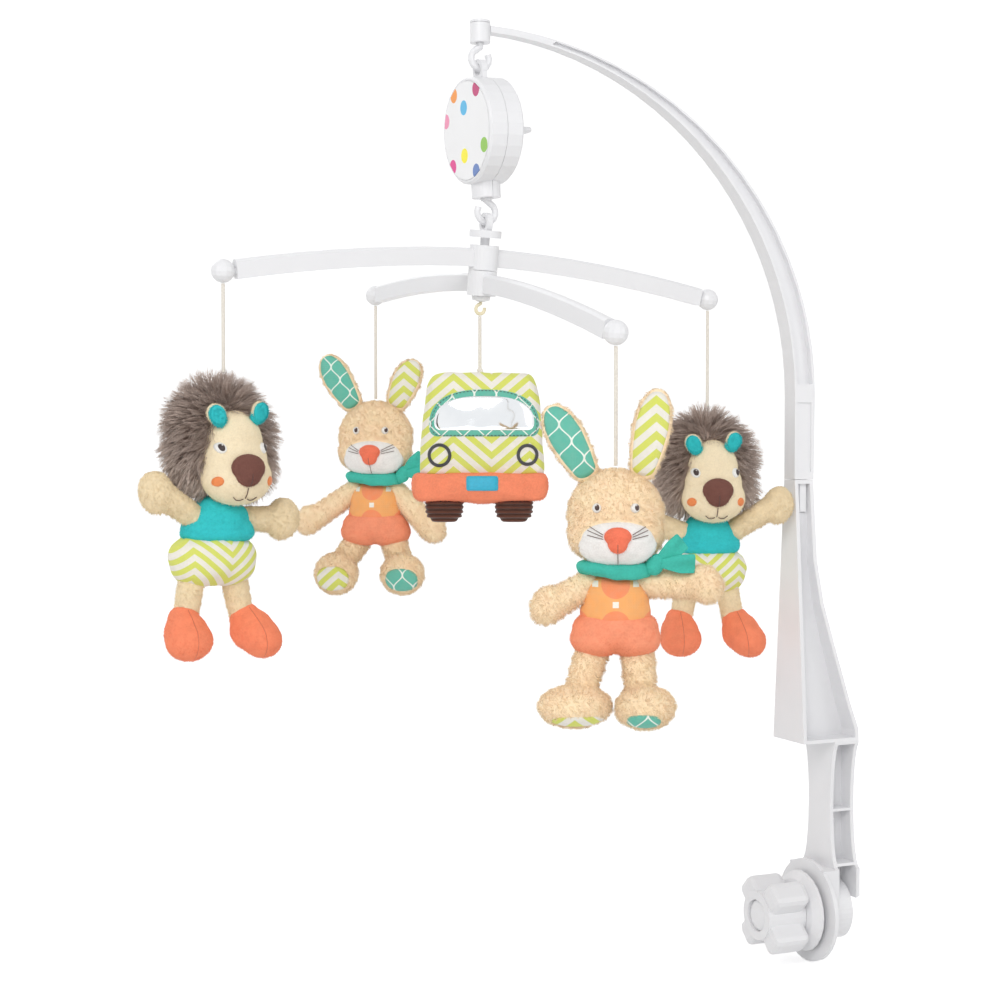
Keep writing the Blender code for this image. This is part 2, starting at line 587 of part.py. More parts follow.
def make_output(parent):
    lip = move(z=-NECK_END + NECK_LIP / 2)
    plumb = turn(-BOX_LEAN, "Y") @ turn(-BOX_YAW, "Z")
    spin = pivot("output_spin", parent=parent, place=lip @ plumb @ lip.inverted())
    head_top = -NECK_END + NECK_LIP + GAP + SHAFT_FLANGE * math.sin(abs(BOX_LEAN)) + 0.003
    hook = make_hook("output_hook", -1, LOWER_HOOK_DROP, head_top, SHAFT_FLANGE, 0.003, spin)
    gear_base = -(BOX_DROP + BOX_RADIUS - BOX_WALL) + 0.0018
    join(hook, rod("output_shaft", SHAFT_RADIUS, -NECK_END - 0.002, gear_base - GAP, parent=spin))
    turned("output_gear", [(0.0, gear_base + 0.0035), (0.0085, gear_base + 0.0025), (0.0085, gear_base),
                           (0.0, gear_base)], parent=spin, material=WHITE, steps=24)
    return spin


def make_music_box(swivel):
    swing = pivot("box_swing", parent=swivel, place=turn(BOX_LEAN, "Y"))
    make_box_shells(swing)
    make_movement(swing)
    return make_output(swing)


# ---- Hub

def bar_route(length, ring_z):
    """The bar's centre line from end to end: nearly level at the hub, then drooping."""
    steps = 16
    spots = [length * (2 * i / steps - 1) for i in range(steps + 1)]
    return [(x, ring_z - BAR_DROOP * (abs(x) / SPAN) ** 1.8) for x in spots]


def make_bar(name, ring, yaw, parent):
    """A ring round the spindle with two drooping arms, each ending in a peg for its ball."""
    top, bottom = ring
    middle = -(top + bottom) / 2
    aimed = pivot(f"{name}_aim", parent, turn(yaw, "Z"))
    bar = rod(name, RING_RADIUS, -bottom, -top, parent=aimed, material=WHITE, sides=28)
    route = bar_route(SPAN - BALL - GAP, middle)
    end_z = middle - BAR_DROOP
    wide, tall = BAR_WIDTH / 2, BAR_HEIGHT / 2
    section = [(-wide, -tall), (wide, -tall), (wide, tall - BAR_BEVEL), (wide - BAR_BEVEL, tall),
               (BAR_BEVEL - wide, tall), (-wide, tall - BAR_BEVEL)]
    join(bar, extrusion(f"{name}_arms", route, section, aimed))
    for number, direction in enumerate((0.0, math.pi)):
        peg = turn(direction, "Z") @ move(z=end_z) @ ALONG_X
        join(bar, rod(f"{name}_peg_{number}", PEG, SPAN - BALL - 0.001, SPAN - BALL + PEG_LENGTH, parent=aimed,
                      place=peg, sides=10))
    cut(bar, rod(f"{name}_bore", SPINDLE + RUN, -0.1, 0.0, parent=aimed))
    return end_z


def make_hub(spin):
    hub = pivot("hub_swing", parent=spin, place=move(z=-LOWER_HOOK_DROP) @ turn(HUB_TILT, "X") @ turn(HUB_LEAN, "Y"))
    eye_z = WIRE + HANG - HUB_EYE
    spindle = rod("hub_spindle", FLANGE_RADIUS, -FLANGE_BOTTOM, -FLANGE_TOP, parent=hub, material=WHITE, sides=28)
    join(spindle, rod("eye_disc", HUB_EYE + 0.0032, -0.002, 0.002, parent=hub, place=move(z=eye_z) @ ALONG_X))
    join(spindle, rod("spindle_rod", SPINDLE, -LOWER_RING[1] - 0.004, -FLANGE_BOTTOM + 0.001, parent=hub))
    cut(spindle, rod("hub_eye", HUB_EYE, -0.02, 0.02, parent=hub, place=move(z=eye_z) @ ALONG_X))
    cut(spindle, rod("toy_hook_socket", TOY_WIRE + GAP, -LOWER_RING[1] - 0.01, -LOWER_RING[1] + 0.002, parent=hub,
                     sides=16))
    turned("spindle_nut", [(SPINDLE + GAP, -LOWER_RING[1] - GAP), (0.0065, -LOWER_RING[1] - GAP),
                           (0.0060, -LOWER_RING[1] - 0.0032), (SPINDLE + GAP, -LOWER_RING[1] - 0.0036)], parent=hub,
           material=WHITE, steps=14, closed=True)
    fold = pivot("bar_fold", parent=hub)
    drops = {"upper_bar": make_bar("upper_bar", UPPER_RING, UPPER_YAW, hub),
             "lower_bar": make_bar("lower_bar", LOWER_RING, LOWER_YAW + QUARTER, fold)}
    places = {}
    for name, angle, bar, parent in (("left", UPPER_YAW + math.pi, "upper_bar", hub),
                                     ("right", UPPER_YAW, "upper_bar", hub),
                                     ("front", LOWER_YAW - QUARTER, "lower_bar", fold),
                                     ("back", LOWER_YAW + QUARTER, "lower_bar", fold)):
        spot = turn(angle, "Z") @ move(x=SPAN, z=drops[bar])
        cap = ball(f"{name}_ball", (2 * BALL, 2 * BALL, 2 * BALL), parent=parent, place=spot, material=WHITE,
                   sides=14, rings=8)
        cut(cap, rod(f"{name}_peg_seat", PEG + GAP, -BALL - 0.002, -BALL + PEG_LENGTH + GAP, parent=parent,
                     place=spot @ ALONG_X, sides=10))
        places[name] = (parent, spot)
    hook_bottom = -TOY_HOOK_DROP
    ring = arc(0.0, hook_bottom + TOY_BEND, TOY_BEND, TOY_BEND, 90, 380, 10)
    route = [(0.0, 0.0, -LOWER_RING[1] + 0.002 - 2 * GAP), (0.0, 0.0, hook_bottom + 2 * TOY_BEND + 0.0004)]
    wire("toy_hook", route + [(x, 0.0, z) for x, z in ring[1:]], TOY_WIRE, parent=hub, material=WHITE)
    places["middle"] = (hub, move(z=hook_bottom))
    return places


# ---- Toys

def level_pivot(name, parent, world_point):
    """A pivot that hangs plumb whatever its parent's tilt."""
    bpy.context.view_layer.update()
    return pivot(name, parent, parent.matrix_world.inverted() @ Matrix.Translation(world_point))


def limb(name, start, end, thick, parent, sides=8):
    """A padded limb: an ellipsoid along the line from start to end."""
    first, last = Vector(start), Vector(end)
    line = last - first
    facing = line.to_track_quat("Z", "Y").to_matrix().to_4x4()
    place = Matrix.Translation((first + last) / 2) @ facing
    return ball(name, (thick, thick, line.length + thick * 0.5), parent=parent, place=place, sides=sides, rings=5)


def hang_string(name, swing, top, length):
    steps = 8
    route = [(0.0, 0.0, top - (top - (-length)) * i / steps) for i in range(steps + 1)]
    wire(name, route, STRING, parent=swing, material=CORD)


def make_lion(name, toy, hands, lean):
    """A lion toy, measured down from the top of its mane."""
    mane = ball(f"{name}_mane", (0.076, 0.054, 0.080), toy, move(y=0.004, z=-0.0396), MANE, 16, 10)
    head_place = move(x=0.002, y=-0.012, z=-0.0545)
    head_size = Vector((0.050, 0.046, 0.060))
    ball(f"{name}_head", head_size, toy, head_place, LION_FACE, 14, 9)
    room = head_size + Vector((2, 2, 2)) * GAP * 3
    cut(mane, ball(f"{name}_head_room", room, toy, head_place, sides=14, rings=9))
    torso_z = -0.104
    body = ball(f"{name}_body", (0.040, 0.032, 0.046), toy, move(x=lean / 2, z=torso_z), LION_BODY)
    join(body, ball(f"{name}_shorts", (0.054, 0.036, 0.040), toy, move(x=lean, z=torso_z - 0.019)))
    for side, hand in zip((-1, 1), hands):
        shoulder = (lean / 2 + side * 0.012, 0.0, torso_z + 0.011)
        join(body, limb(f"{name}_arm_{side}", shoulder, hand, 0.019, toy))
        hip = (lean + side * 0.013, 0.0, torso_z - 0.027)
        foot = (lean + side * 0.021, -0.002, torso_z - 0.056)
        join(body, limb(f"{name}_leg_{side}", hip, foot, 0.020, toy))
        join(body, ball(f"{name}_shoe_{side}", (0.034, 0.030, 0.034), toy, move(foot[0], foot[1] - 0.003, -0.170)))
    under_head = ball(f"{name}_neck_room", room, toy, head_place, sides=16, rings=10)
    cut(body, under_head)
    mane_room = ball(f"{name}_mane_room", (0.0772, 0.0552, 0.0812), toy, move(y=0.004, z=-0.0396), sides=16, rings=10)
    cut(body, mane_room)


def make_rabbit(name, toy, hands, ears):
    """A rabbit toy, measured down from where its string leaves the crown of its head."""
    head = ball(f"{name}_head", (0.062, 0.046, 0.060), toy, move(z=-0.030), RABBIT_FUR, 14, 9)
    scarf_z = -0.0625
    torus = turned(f"{name}_scarf", arc(0.0, scarf_z - 0.0015, 0.021, 0.0052, 90, -90, 8), toy, None, SCARF, 18)
    cut(torus, ball(f"{name}_chin_room", (0.0626, 0.0466, 0.0606), toy, move(z=-0.030), sides=14, rings=9))
    torso_z = scarf_z - 0.0255
    body = ball(f"{name}_body", (0.042, 0.034, 0.040), toy, move(z=torso_z + 0.0007), RABBIT_BODY)
    join(body, ball(f"{name}_shorts", (0.053, 0.038, 0.040), toy, move(z=torso_z - 0.019)))
    for side, hand in zip((-1, 1), hands):
        shoulder = (side * 0.013, 0.0, torso_z + 0.006)
        join(body, limb(f"{name}_arm_{side}", shoulder, hand, 0.018, toy))
        hip = (side * 0.013, 0.0, torso_z - 0.026)
        foot = (side * 0.021, -0.010, torso_z - 0.048)
        join(body, limb(f"{name}_leg_{side}", hip, foot, 0.021, toy))
        join(body, ball(f"{name}_foot_{side}", (0.034, 0.026, 0.042), toy, move(foot[0], foot[1], foot[2] + 0.003)))
    cut(body, turned(f"{name}_scarf_room", arc(0.0, scarf_z - 0.0015, 0.0214, 0.0058, 90, -90, 8), toy, None, None, 18))
    for side, tip in zip(("left", "right"), ears):
        root = Vector((-0.015 if side == "left" else 0.015, 0.0, -0.006))
        line = Vector(tip) - root
        facing = line.to_track_quat("Z", "Y").to_matrix().to_4x4()
        size = (0.020, 0.010, line.length)
        ear = ball(f"{name}_{side}_ear", size, toy, Matrix.Translation(root + line / 2) @ facing, RABBIT_FUR, 12, 8)
        cut(ear, ball(f"{name}_{side}_ear_room", (0.0626, 0.0466, 0.0606), toy, move(z=-0.030), sides=14,
                      rings=9))


def make_van(name, toy):
    """A flat plush van, measured down from the middle of its roof."""
    body = block(f"{name}_body", (0.088, 0.032, 0.087), toy, move(z=-0.0435), VAN_COTTON)
    soften(body, 0.012, 3)
    screen = [*arc(0.0, -0.048, 0.034, 0.036, 0, 180, 16)]
    paint(plate(f"{name}_mirror", screen, 0.0015, toy, move(y=-0.016 - 0.00075 - GAP) @ UPRIGHT), MIRROR)
    for side, across in (("left", -0.0245), ("right", 0.0235)):
        wheel_place = move(x=across, z=-0.0895) @ ALONG_X
        rod(f"{name}_{side}_wheel", 0.0125, -0.0107, 0.0107, toy, wheel_place, WHEEL_PLUSH, 20)
        cut(body, rod(f"{name}_{side}_wheel_room", 0.0125 + GAP, -0.0107 - GAP, 0.0107 + GAP, toy, wheel_place,
                      sides=20))


def make_toys(places):
    """Hangs each toy plumb under its ball: its string's swing, then the toy's twist."""
    lion_hands = {"left": ((-0.049, -0.004, -0.076), (0.040, -0.004, -0.094)),
                  "right": ((-0.046, -0.004, -0.084), (0.053, -0.004, -0.072))}
    rabbit_hands = {"front": ((-0.040, -0.006, -0.084), (0.052, -0.006, -0.072)),
                    "back": ((-0.050, -0.006, -0.094), (0.044, -0.006, -0.099))}
    ears = {"front": ((-0.040, 0.0, 0.036), (0.026, 0.0, 0.046)),
            "back": ((-0.040, 0.0, 0.034), (0.032, 0.0, 0.030))}
    lengths = {"left": 0.0572, "right": 0.0705, "front": 0.0718, "back": 0.0725}
    yaws = {"left": 9, "right": -20, "front": -27, "back": -32}
    for name, length in lengths.items():
        parent, spot = places[name]
        bpy.context.view_layer.update()
        centre = (parent.matrix_world @ spot).translation
        swing = level_pivot(f"{name}_swing", parent, centre)
        hang_string(f"{name}_string", swing, -BALL - GAP, length + BALL)
        twist = pivot(f"{name}_twist", swing, move(z=-length - BALL - GAP) @ turn(math.radians(yaws[name]), "Z"))
        if name in ("left", "right"):
            make_lion(f"{name}_lion", twist, lion_hands[name], -0.008 if name == "left" else 0.0)
        else:
            make_rabbit(f"{name}_rabbit", twist, rabbit_hands[name], ears[name])
    parent, spot = places["middle"]
    bpy.context.view_layer.update()
    centre = (parent.matrix_world @ spot).translation
    swing = level_pivot("van_swing", parent, centre)
    length = 0.0405
    hang_string("van_string", swing, -TOY_WIRE - GAP, length)
    twist = pivot("van_twist", swing, move(z=-length - GAP) @ turn(math.radians(-23.4), "Z"))
    make_van("van", twist)


make_post()
make_arm()
make_clamp()
make_toys(make_hub(make_music_box(make_top_hook())))
bpy.context.view_layer.update()
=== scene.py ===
import math

import bmesh
import bpy
import numpy as np
from mathutils import Euler, Matrix, Vector, noise
from mathutils.bvhtree import BVHTree


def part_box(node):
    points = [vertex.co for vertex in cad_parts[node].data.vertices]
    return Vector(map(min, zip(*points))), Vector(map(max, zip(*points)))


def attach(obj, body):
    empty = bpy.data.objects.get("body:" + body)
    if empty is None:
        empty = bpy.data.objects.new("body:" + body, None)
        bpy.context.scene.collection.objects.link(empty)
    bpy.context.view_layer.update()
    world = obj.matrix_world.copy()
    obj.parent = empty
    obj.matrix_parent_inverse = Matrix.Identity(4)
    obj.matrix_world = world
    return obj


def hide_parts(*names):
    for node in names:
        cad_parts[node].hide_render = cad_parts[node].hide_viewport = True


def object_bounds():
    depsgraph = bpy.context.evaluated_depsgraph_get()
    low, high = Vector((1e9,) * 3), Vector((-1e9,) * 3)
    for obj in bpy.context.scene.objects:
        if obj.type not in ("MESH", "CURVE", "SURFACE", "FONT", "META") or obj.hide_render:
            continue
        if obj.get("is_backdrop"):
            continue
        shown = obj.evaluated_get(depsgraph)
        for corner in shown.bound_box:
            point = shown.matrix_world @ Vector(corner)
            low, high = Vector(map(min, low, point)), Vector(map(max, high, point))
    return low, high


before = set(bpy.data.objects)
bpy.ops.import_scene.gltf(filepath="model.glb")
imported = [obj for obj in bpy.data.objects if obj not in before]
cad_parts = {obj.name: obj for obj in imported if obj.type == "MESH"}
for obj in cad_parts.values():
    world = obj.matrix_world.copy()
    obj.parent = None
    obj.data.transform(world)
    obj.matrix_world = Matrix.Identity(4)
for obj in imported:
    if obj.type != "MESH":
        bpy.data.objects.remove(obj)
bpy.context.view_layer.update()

bl_info = {
    "name": "Crib mobile",
    "version": (1, 0, 0),
    "blender": (4, 5, 0),
    "location": "3D View > Sidebar > Crib mobile",
    "description": "Dresses the frame of a crib mobile with its plastics, cords and plush toys",
    "category": "Object",
}

MM = 0.001


# Colours and properties

def linear(code):
    """The linear colour of an sRGB hex value."""
    parts = [int(code[i:i + 2], 16) / 255 for i in (0, 2, 4)]
    parts = [c / 12.92 if c <= 0.04045 else ((c + 0.055) / 1.055) ** 2.4 for c in parts]
    return (*parts, 1.0)


def colour(name, description, code):
    """A colour that the user can change."""
    return bpy.props.FloatVectorProperty(
        name=name, description=description, subtype="COLOR", size=4, min=0, max=1, default=linear(code)
    )


def length(name, description, metres):
    """A length that the user can change."""
    return bpy.props.FloatProperty(
        name=name, description=description, unit="LENGTH", min=0, precision=5, default=metres
    )


class HardColours(bpy.types.PropertyGroup):
    """Colours of the plastics, metals and prints."""

    plastic: colour("Plastic", "White moulded ABS of the arm, clamp, box and cross", "E9E9EB")
    toy_hook: colour("Toy hook", "Ivory plastic of the hook under the hub", "E9DFC0")
    steel: colour("Steel", "Bright zinc-plated steel", "C6C8CC")
    brass: colour("Brass", "Drawn brass of the music movement", "C9A45C")
    disc: colour("Disc", "Ground of the printed disc", "F4F4F5")
    cord: colour("Cord", "Undyed twisted cotton", "EBE5DA")


class LionColours(bpy.types.PropertyGroup):
    """Colours of the two lions."""

    mane: colour("Mane roots", "Long fur near its backing", "B09A8E")
    mane_tip: colour("Mane tips", "Long fur at its combed tips", "E8D6CA")
    face: colour("Face", "Short cream plush of the face", "F0DFBE")
    limbs: colour("Limbs", "Sand terry of arms and legs", "EBD6B0")
    nose: colour("Nose", "Brown velour of the nose", "74493F")
    shirt: colour("Shirt and ears", "Turquoise velour", "30C2C6")
    lime: colour("Lime", "Lime stripe of the chevron cotton", "D6DC62")
    pale: colour("Pale stripe", "Pale stripe of the chevron cotton", "EFEBE0")
    shoes: colour("Shoes", "Coral velour of the shoes", "FC8C66")
    cheeks: colour("Cheeks", "Orange thread of the cheeks", "F08A4B")


class RabbitColours(bpy.types.PropertyGroup):
    """Colours of the two rabbits."""

    fur: colour("Fur", "Curly cream plush", "FFE3BE")
    muzzle: colour("Muzzle", "White velour of the muzzle", "F1EEEB")
    nose: colour("Nose", "Coral velour of the nose", "F47B5C")
    scarf: colour("Scarf", "Teal velour of the scarf", "3FB8A6")
    shorts: colour("Shorts", "Coral velour of the shorts", "FD9A76")
    print_ground: colour("Print ground", "Orange ground of the body's cotton", "FCB068")
    print_circle: colour("Print circles", "Coral circles on the body's cotton", "F8905F")
    lattice: colour("Lattice", "Teal ground of the lattice cotton", "5FBBA6")


class VanColours(bpy.types.PropertyGroup):
    """Colours of the van."""

    sides: colour("Sides", "Yellow velour round the body", "EFC53A")
    bumper: colour("Bumper", "Coral velour of the bumper", "F58C68")
    wheels: colour("Wheels", "Brown corduroy of the wheels", "5A3324")
    tag: colour("Tag", "Plain woven tag", "2FB2D2")
    rings: colour("Lamp rings", "Dark grey satin thread", "4A4A4E")


class SoftSizes(bpy.types.PropertyGroup):
    """Sizes of pile, stitches and patterns."""

    mane_hair: length("Mane hair", "Length of the lions' long fur", 0.0106)
    curl: length("Curl", "Length of one curled hair of the rabbits' plush", 0.0021)
    terry: length("Terry loop", "Height of the terry on the lions' limbs", 0.0014)
    chevron_width: length("Chevron width", "One whole zigzag of the cotton", 0.0480)
    chevron_stripe: length("Chevron stripes", "One lime and one pale stripe", 0.0106)
    satin: length("Satin thread", "Thread spacing of the embroidery, drawn coarse enough to show", 0.0006)


# Nodes and materials

def add(tree, kind, inputs=(), **settings):
    """Adds a node. inputs pairs a socket with a value, or with the socket that feeds it."""
    node = tree.nodes.new(kind)
    for key, value in settings.items():
        setattr(node, key, value)
    for socket, value in dict(inputs).items():
        if isinstance(value, bpy.types.NodeSocket):
            tree.links.new(value, node.inputs[socket])
        else:
            node.inputs[socket].default_value = value
    return node


def begin(name, **finish):
    """A new material: its node tree, its shader and the piece's own coordinates in metres."""
    material = bpy.data.materials.new(name)
    material.use_nodes = True
    tree = material.node_tree
    tree.nodes.clear()
    shader = add(tree, "ShaderNodeBsdfPrincipled",
                 {key.replace("_", " "): value for key, value in finish.items()})
    add(tree, "ShaderNodeOutputMaterial", {"Surface": shader.outputs[0]})
    place = add(tree, "ShaderNodeTexCoord").outputs["Object"]
    return material, tree, shader, place


def vary(tree, place, base, other, spacing, amount, detail=3.0):
    """The colour base, drifting by amount towards other in soft clouds of that spacing."""
    cloud = add(tree, "ShaderNodeTexNoise", {"Vector": place, "Scale": 1 / spacing, "Detail": detail})
    reach = add(tree, "ShaderNodeMapRange", {0: cloud.outputs["Fac"], 1: 0.3, 2: 0.7, 3: 0.0, 4: amount})
    mix = add(tree, "ShaderNodeMix", {0: reach.outputs[0]}, data_type="RGBA")
    for socket, value in ((6, base), (7, other)):
        if isinstance(value, bpy.types.NodeSocket):
            tree.links.new(value, mix.inputs[socket])
        else:
            mix.inputs[socket].default_value = value
    return mix.outputs[2]


def shade(value, factor):
    """A colour made darker or lighter."""
    return (*(min(1.0, c * factor) for c in value[:3]), 1.0)


def raise_bump(tree, shader, height, depth, strength=1.0):
    """Feeds a height, worth depth metres from 0 to 1, to the shader's normal."""
    bump = add(tree, "ShaderNodeBump", {"Height": height, "Distance": depth, "Strength": strength})
    tree.links.new(bump.outputs[0], shader.inputs["Normal"])
    return bump


def moulded_abs(name, base, roughness=0.36):
    """Injection-moulded ABS: an even satin gloss with a faint texture left by the spark-eroded mould."""
    material, tree, shader, place = begin(name, Roughness=roughness, IOR=1.53)
    tint = vary(tree, place, tuple(base), shade(base, 0.97), 0.03, 0.6)
    tree.links.new(tint, shader.inputs["Base Color"])
    grain = add(tree, "ShaderNodeTexNoise", {"Vector": place, "Scale": 1 / (0.7 * MM), "Detail": 2.0})
    raise_bump(tree, shader, grain.outputs["Fac"], 0.02 * MM, 0.5)
    gloss = add(tree, "ShaderNodeTexNoise", {"Vector": place, "Scale": 1 / (9 * MM)})
    spread = add(tree, "ShaderNodeMapRange",
                 {0: gloss.outputs["Fac"], 3: roughness - 0.05, 4: roughness + 0.06})
    tree.links.new(spread.outputs[0], shader.inputs["Roughness"])
    return material


def plated_steel(name, base):
    """Zinc-plated steel: bright, with fine drawn lines that stretch its highlights."""
    material, tree, shader, place = begin(name, Metallic=1.0, Roughness=0.3)
    tree.links.new(vary(tree, place, tuple(base), shade(base, 0.85), 0.004, 0.7),
                   shader.inputs["Base Color"])
    lines = add(tree, "ShaderNodeMapping", {"Vector": place, "Scale": (1.0, 1.0, 14.0)})
    drawn = add(tree, "ShaderNodeTexNoise",
                {"Vector": lines.outputs[0], "Scale": 1 / (1.2 * MM), "Detail": 3.0})
    raise_bump(tree, shader, drawn.outputs["Fac"], 0.02 * MM, 0.6)
    return material


def drawn_brass(name, base):
    """Drawn brass of a music movement: warm, slightly dulled by handling."""
    material, tree, shader, place = begin(name, Metallic=1.0, Roughness=0.34)
    tree.links.new(vary(tree, place, tuple(base), shade(base, 0.7), 0.006, 0.8),
                   shader.inputs["Base Color"])
    brushed = add(tree, "ShaderNodeTexNoise", {"Vector": place, "Scale": 1 / (0.8 * MM), "Detail": 4.0})
    raise_bump(tree, shader, brushed.outputs["Fac"], 0.02 * MM, 0.5)
    return material


def printed_film(name, base, centre, across, upward, dots, radius):
    """Printed polypropylene film: a white ground with flat round dots under a clear gloss."""
    material, tree, shader, place = begin(name, Roughness=0.3, IOR=1.49, Coat_Weight=0.35,
                                          Coat_Roughness=0.15)
    tint = vary(tree, place, tuple(base), shade(base, 0.97), 0.02, 0.5)
    shift = add(tree, "ShaderNodeVectorMath", {0: place, 1: centre}, operation="SUBTRACT").outputs[0]
    u = add(tree, "ShaderNodeVectorMath", {0: shift, 1: across}, operation="DOT_PRODUCT").outputs["Value"]
    v = add(tree, "ShaderNodeVectorMath", {0: shift, 1: upward}, operation="DOT_PRODUCT").outputs["Value"]
    flat = add(tree, "ShaderNodeCombineXYZ", {0: u, 1: v}).outputs[0]
    for code, x, y in dots:
        away = add(tree, "ShaderNodeVectorMath", {0: flat, 1: (x * MM, y * MM, 0)}, operation="DISTANCE")
        edge = {0: away.outputs["Value"], 1: radius - 0.1 * MM, 2: radius + 0.1 * MM, 3: 1.0, 4: 0.0}
        inside = add(tree, "ShaderNodeMapRange", edge)
        mix = add(tree, "ShaderNodeMix", {0: inside.outputs[0], 6: tint, 7: linear(code)}, data_type="RGBA")
        tint = mix.outputs[2]
    tree.links.new(tint, shader.inputs["Base Color"])
    sheet = add(tree, "ShaderNodeTexNoise", {"Vector": place, "Scale": 1 / (6 * MM)})
    raise_bump(tree, shader, sheet.outputs["Fac"], 0.05 * MM, 0.3)
    return material


def mirror_film(name):
    """Aluminised polyester mirror film over wadding: sharp but gently wavy reflections."""
    material, tree, shader, place = begin(name, Metallic=1.0, Roughness=0.09)
    tree.links.new(vary(tree, place, linear("F2F4F6"), linear("E2E6EA"), 0.02, 0.6),
                   shader.inputs["Base Color"])
    waves = add(tree, "ShaderNodeTexNoise", {"Vector": place, "Scale": 1 / (16 * MM), "Detail": 1.0})
    raise_bump(tree, shader, waves.outputs["Fac"], 0.15 * MM, 0.4)
    return material


def twisted_cotton(name, base):
    """Three-ply twisted cotton cord: dry and matt, with a painted shade in soft darker clouds standing for
    the grooves between its plies.
    """
    material, tree, shader, place = begin(name, Roughness=0.9, Sheen_Weight=0.3, Sheen_Roughness=0.6)
    fibres = add(tree, "ShaderNodeTexNoise", {"Vector": place, "Scale": 1 / (0.5 * MM), "Detail": 4.0})
    # painted shade: soft darker clouds in the cord's colour, standing for the shade in the grooves between
    # the plies
    tree.links.new(vary(tree, place, tuple(base), shade(base, 0.82), 0.0012, 0.8),
                   shader.inputs["Base Color"])
    raise_bump(tree, shader, fibres.outputs["Fac"], 0.15 * MM, 0.8)
    return material


def velour(name, base, spacing=1.1 * MM, depth=0.25 * MM, painted_shade_amount=0.75):
    """Cropped polyester velour: a painted shade and a painted highlight in soft clouds, standing for the
    light on the leaning short pile, and a pale rim.
    """
    material, tree, shader, place = begin(
        name, Roughness=0.88, Sheen_Weight=0.35, Sheen_Roughness=0.45, Sheen_Tint=shade(base, 1.3)
    )
    # painted shade: darker clouds in the velour's colour, where the leaning pile would fall into shade
    soft = vary(tree, place, tuple(base), shade(base, 0.82), 0.007, painted_shade_amount)
    # painted highlight: small lighter clouds, where the leaning pile would catch the light
    pile = vary(tree, place, soft, shade(base, 1.16), spacing, 0.55, 2.0)
    tree.links.new(pile, shader.inputs["Base Color"])
    nap = add(tree, "ShaderNodeTexNoise",
              {"Vector": place, "Scale": 1 / spacing, "Detail": 4.0, "Roughness": 0.65})
    raise_bump(tree, shader, nap.outputs["Fac"], depth, 0.8)
    return material


def long_fur(name, root, tip, centre, radii):
    """Long acrylic fur: a painted shade that darkens it towards the backing, lighter towards the combed
    tips, in uneven strands.
    """
    material, tree, shader, place = begin(name, Roughness=0.72, Sheen_Weight=0.25, Sheen_Roughness=0.4)
    shift = add(tree, "ShaderNodeVectorMath", {0: place, 1: centre}, operation="SUBTRACT").outputs[0]
    scaled = add(tree, "ShaderNodeVectorMath", {0: shift, 1: tuple(1 / r for r in radii)},
                 operation="MULTIPLY")
    depth = add(tree, "ShaderNodeVectorMath", {0: scaled.outputs[0]}, operation="LENGTH").outputs["Value"]
    # painted shade: the colour darkens from the tips inwards to the backing, where shade falls deep in the
    # fur
    reach = add(tree, "ShaderNodeMapRange", {0: depth, 1: 0.72, 2: 1.04, 3: 0.0, 4: 1.0})
    mix = add(tree, "ShaderNodeMix", {0: reach.outputs[0], 6: tuple(root), 7: tuple(tip)}, data_type="RGBA")
    strands = vary(tree, place, mix.outputs[2], shade(root, 0.75), 0.0028, 0.7, 2.0)
    tree.links.new(strands, shader.inputs["Base Color"])
    fine = add(tree, "ShaderNodeTexNoise", {"Vector": place, "Scale": 1 / (0.6 * MM), "Detail": 2.0})
    raise_bump(tree, shader, fine.outputs["Fac"], 0.1 * MM, 0.6)
    return material


def curly_plush(name, base):
    """Curly bouclé plush: small loops with a painted shade in the hollows between them."""
    material, tree, shader, place = begin(name, Roughness=0.9, Sheen_Weight=0.3, Sheen_Roughness=0.5)
    loops = add(tree, "ShaderNodeTexVoronoi", {"Vector": place, "Scale": 1 / (1.3 * MM)}, feature="F1")
    # painted shade: the colour darkens in the hollows between the loops
    hollow_shade = add(tree, "ShaderNodeMapRange",
                 {0: loops.outputs["Distance"], 1: 0.15, 2: 0.9, 3: 0.0, 4: 0.2})
    mix = add(
        tree, "ShaderNodeMix", {0: hollow_shade.outputs[0], 6: tuple(base), 7: shade(base, 0.82)},
        data_type="RGBA"
    )
    tree.links.new(vary(tree, place, mix.outputs[2], shade(base, 1.12), 0.009, 0.5),
                   shader.inputs["Base Color"])
    bump = add(tree, "ShaderNodeTexNoise", {"Vector": place, "Scale": 1 / (0.9 * MM), "Detail": 3.0})
    raise_bump(tree, shader, bump.outputs["Fac"], 0.35 * MM, 0.8)
    return material


def stripes(tree, place, width, stripe, shift=0.0, slope=0.85):
    """0 and 1 in a zigzag: width is one whole zigzag, stripe one pair of stripes, in metres."""
    axis = add(tree, "ShaderNodeSeparateXYZ", {0: place})
    x = add(tree, "ShaderNodeMath", {0: axis.outputs["X"], 1: 10 * width + shift}, operation="ADD")
    fold = add(tree, "ShaderNodeMath", {0: x.outputs[0], 1: width / 2}, operation="PINGPONG")
    tilted = add(tree, "ShaderNodeMath", {0: fold.outputs[0], 1: slope, 2: axis.outputs["Z"]},
                 operation="MULTIPLY_ADD")
    part = add(tree, "ShaderNodeMath", {0: tilted.outputs[0], 1: 1 / stripe}, operation="MULTIPLY")
    saw = add(tree, "ShaderNodeMath", {0: part.outputs[0]}, operation="FRACT")
    return add(tree, "ShaderNodeMath", {0: saw.outputs[0], 1: 0.5}, operation="GREATER_THAN").outputs[0]


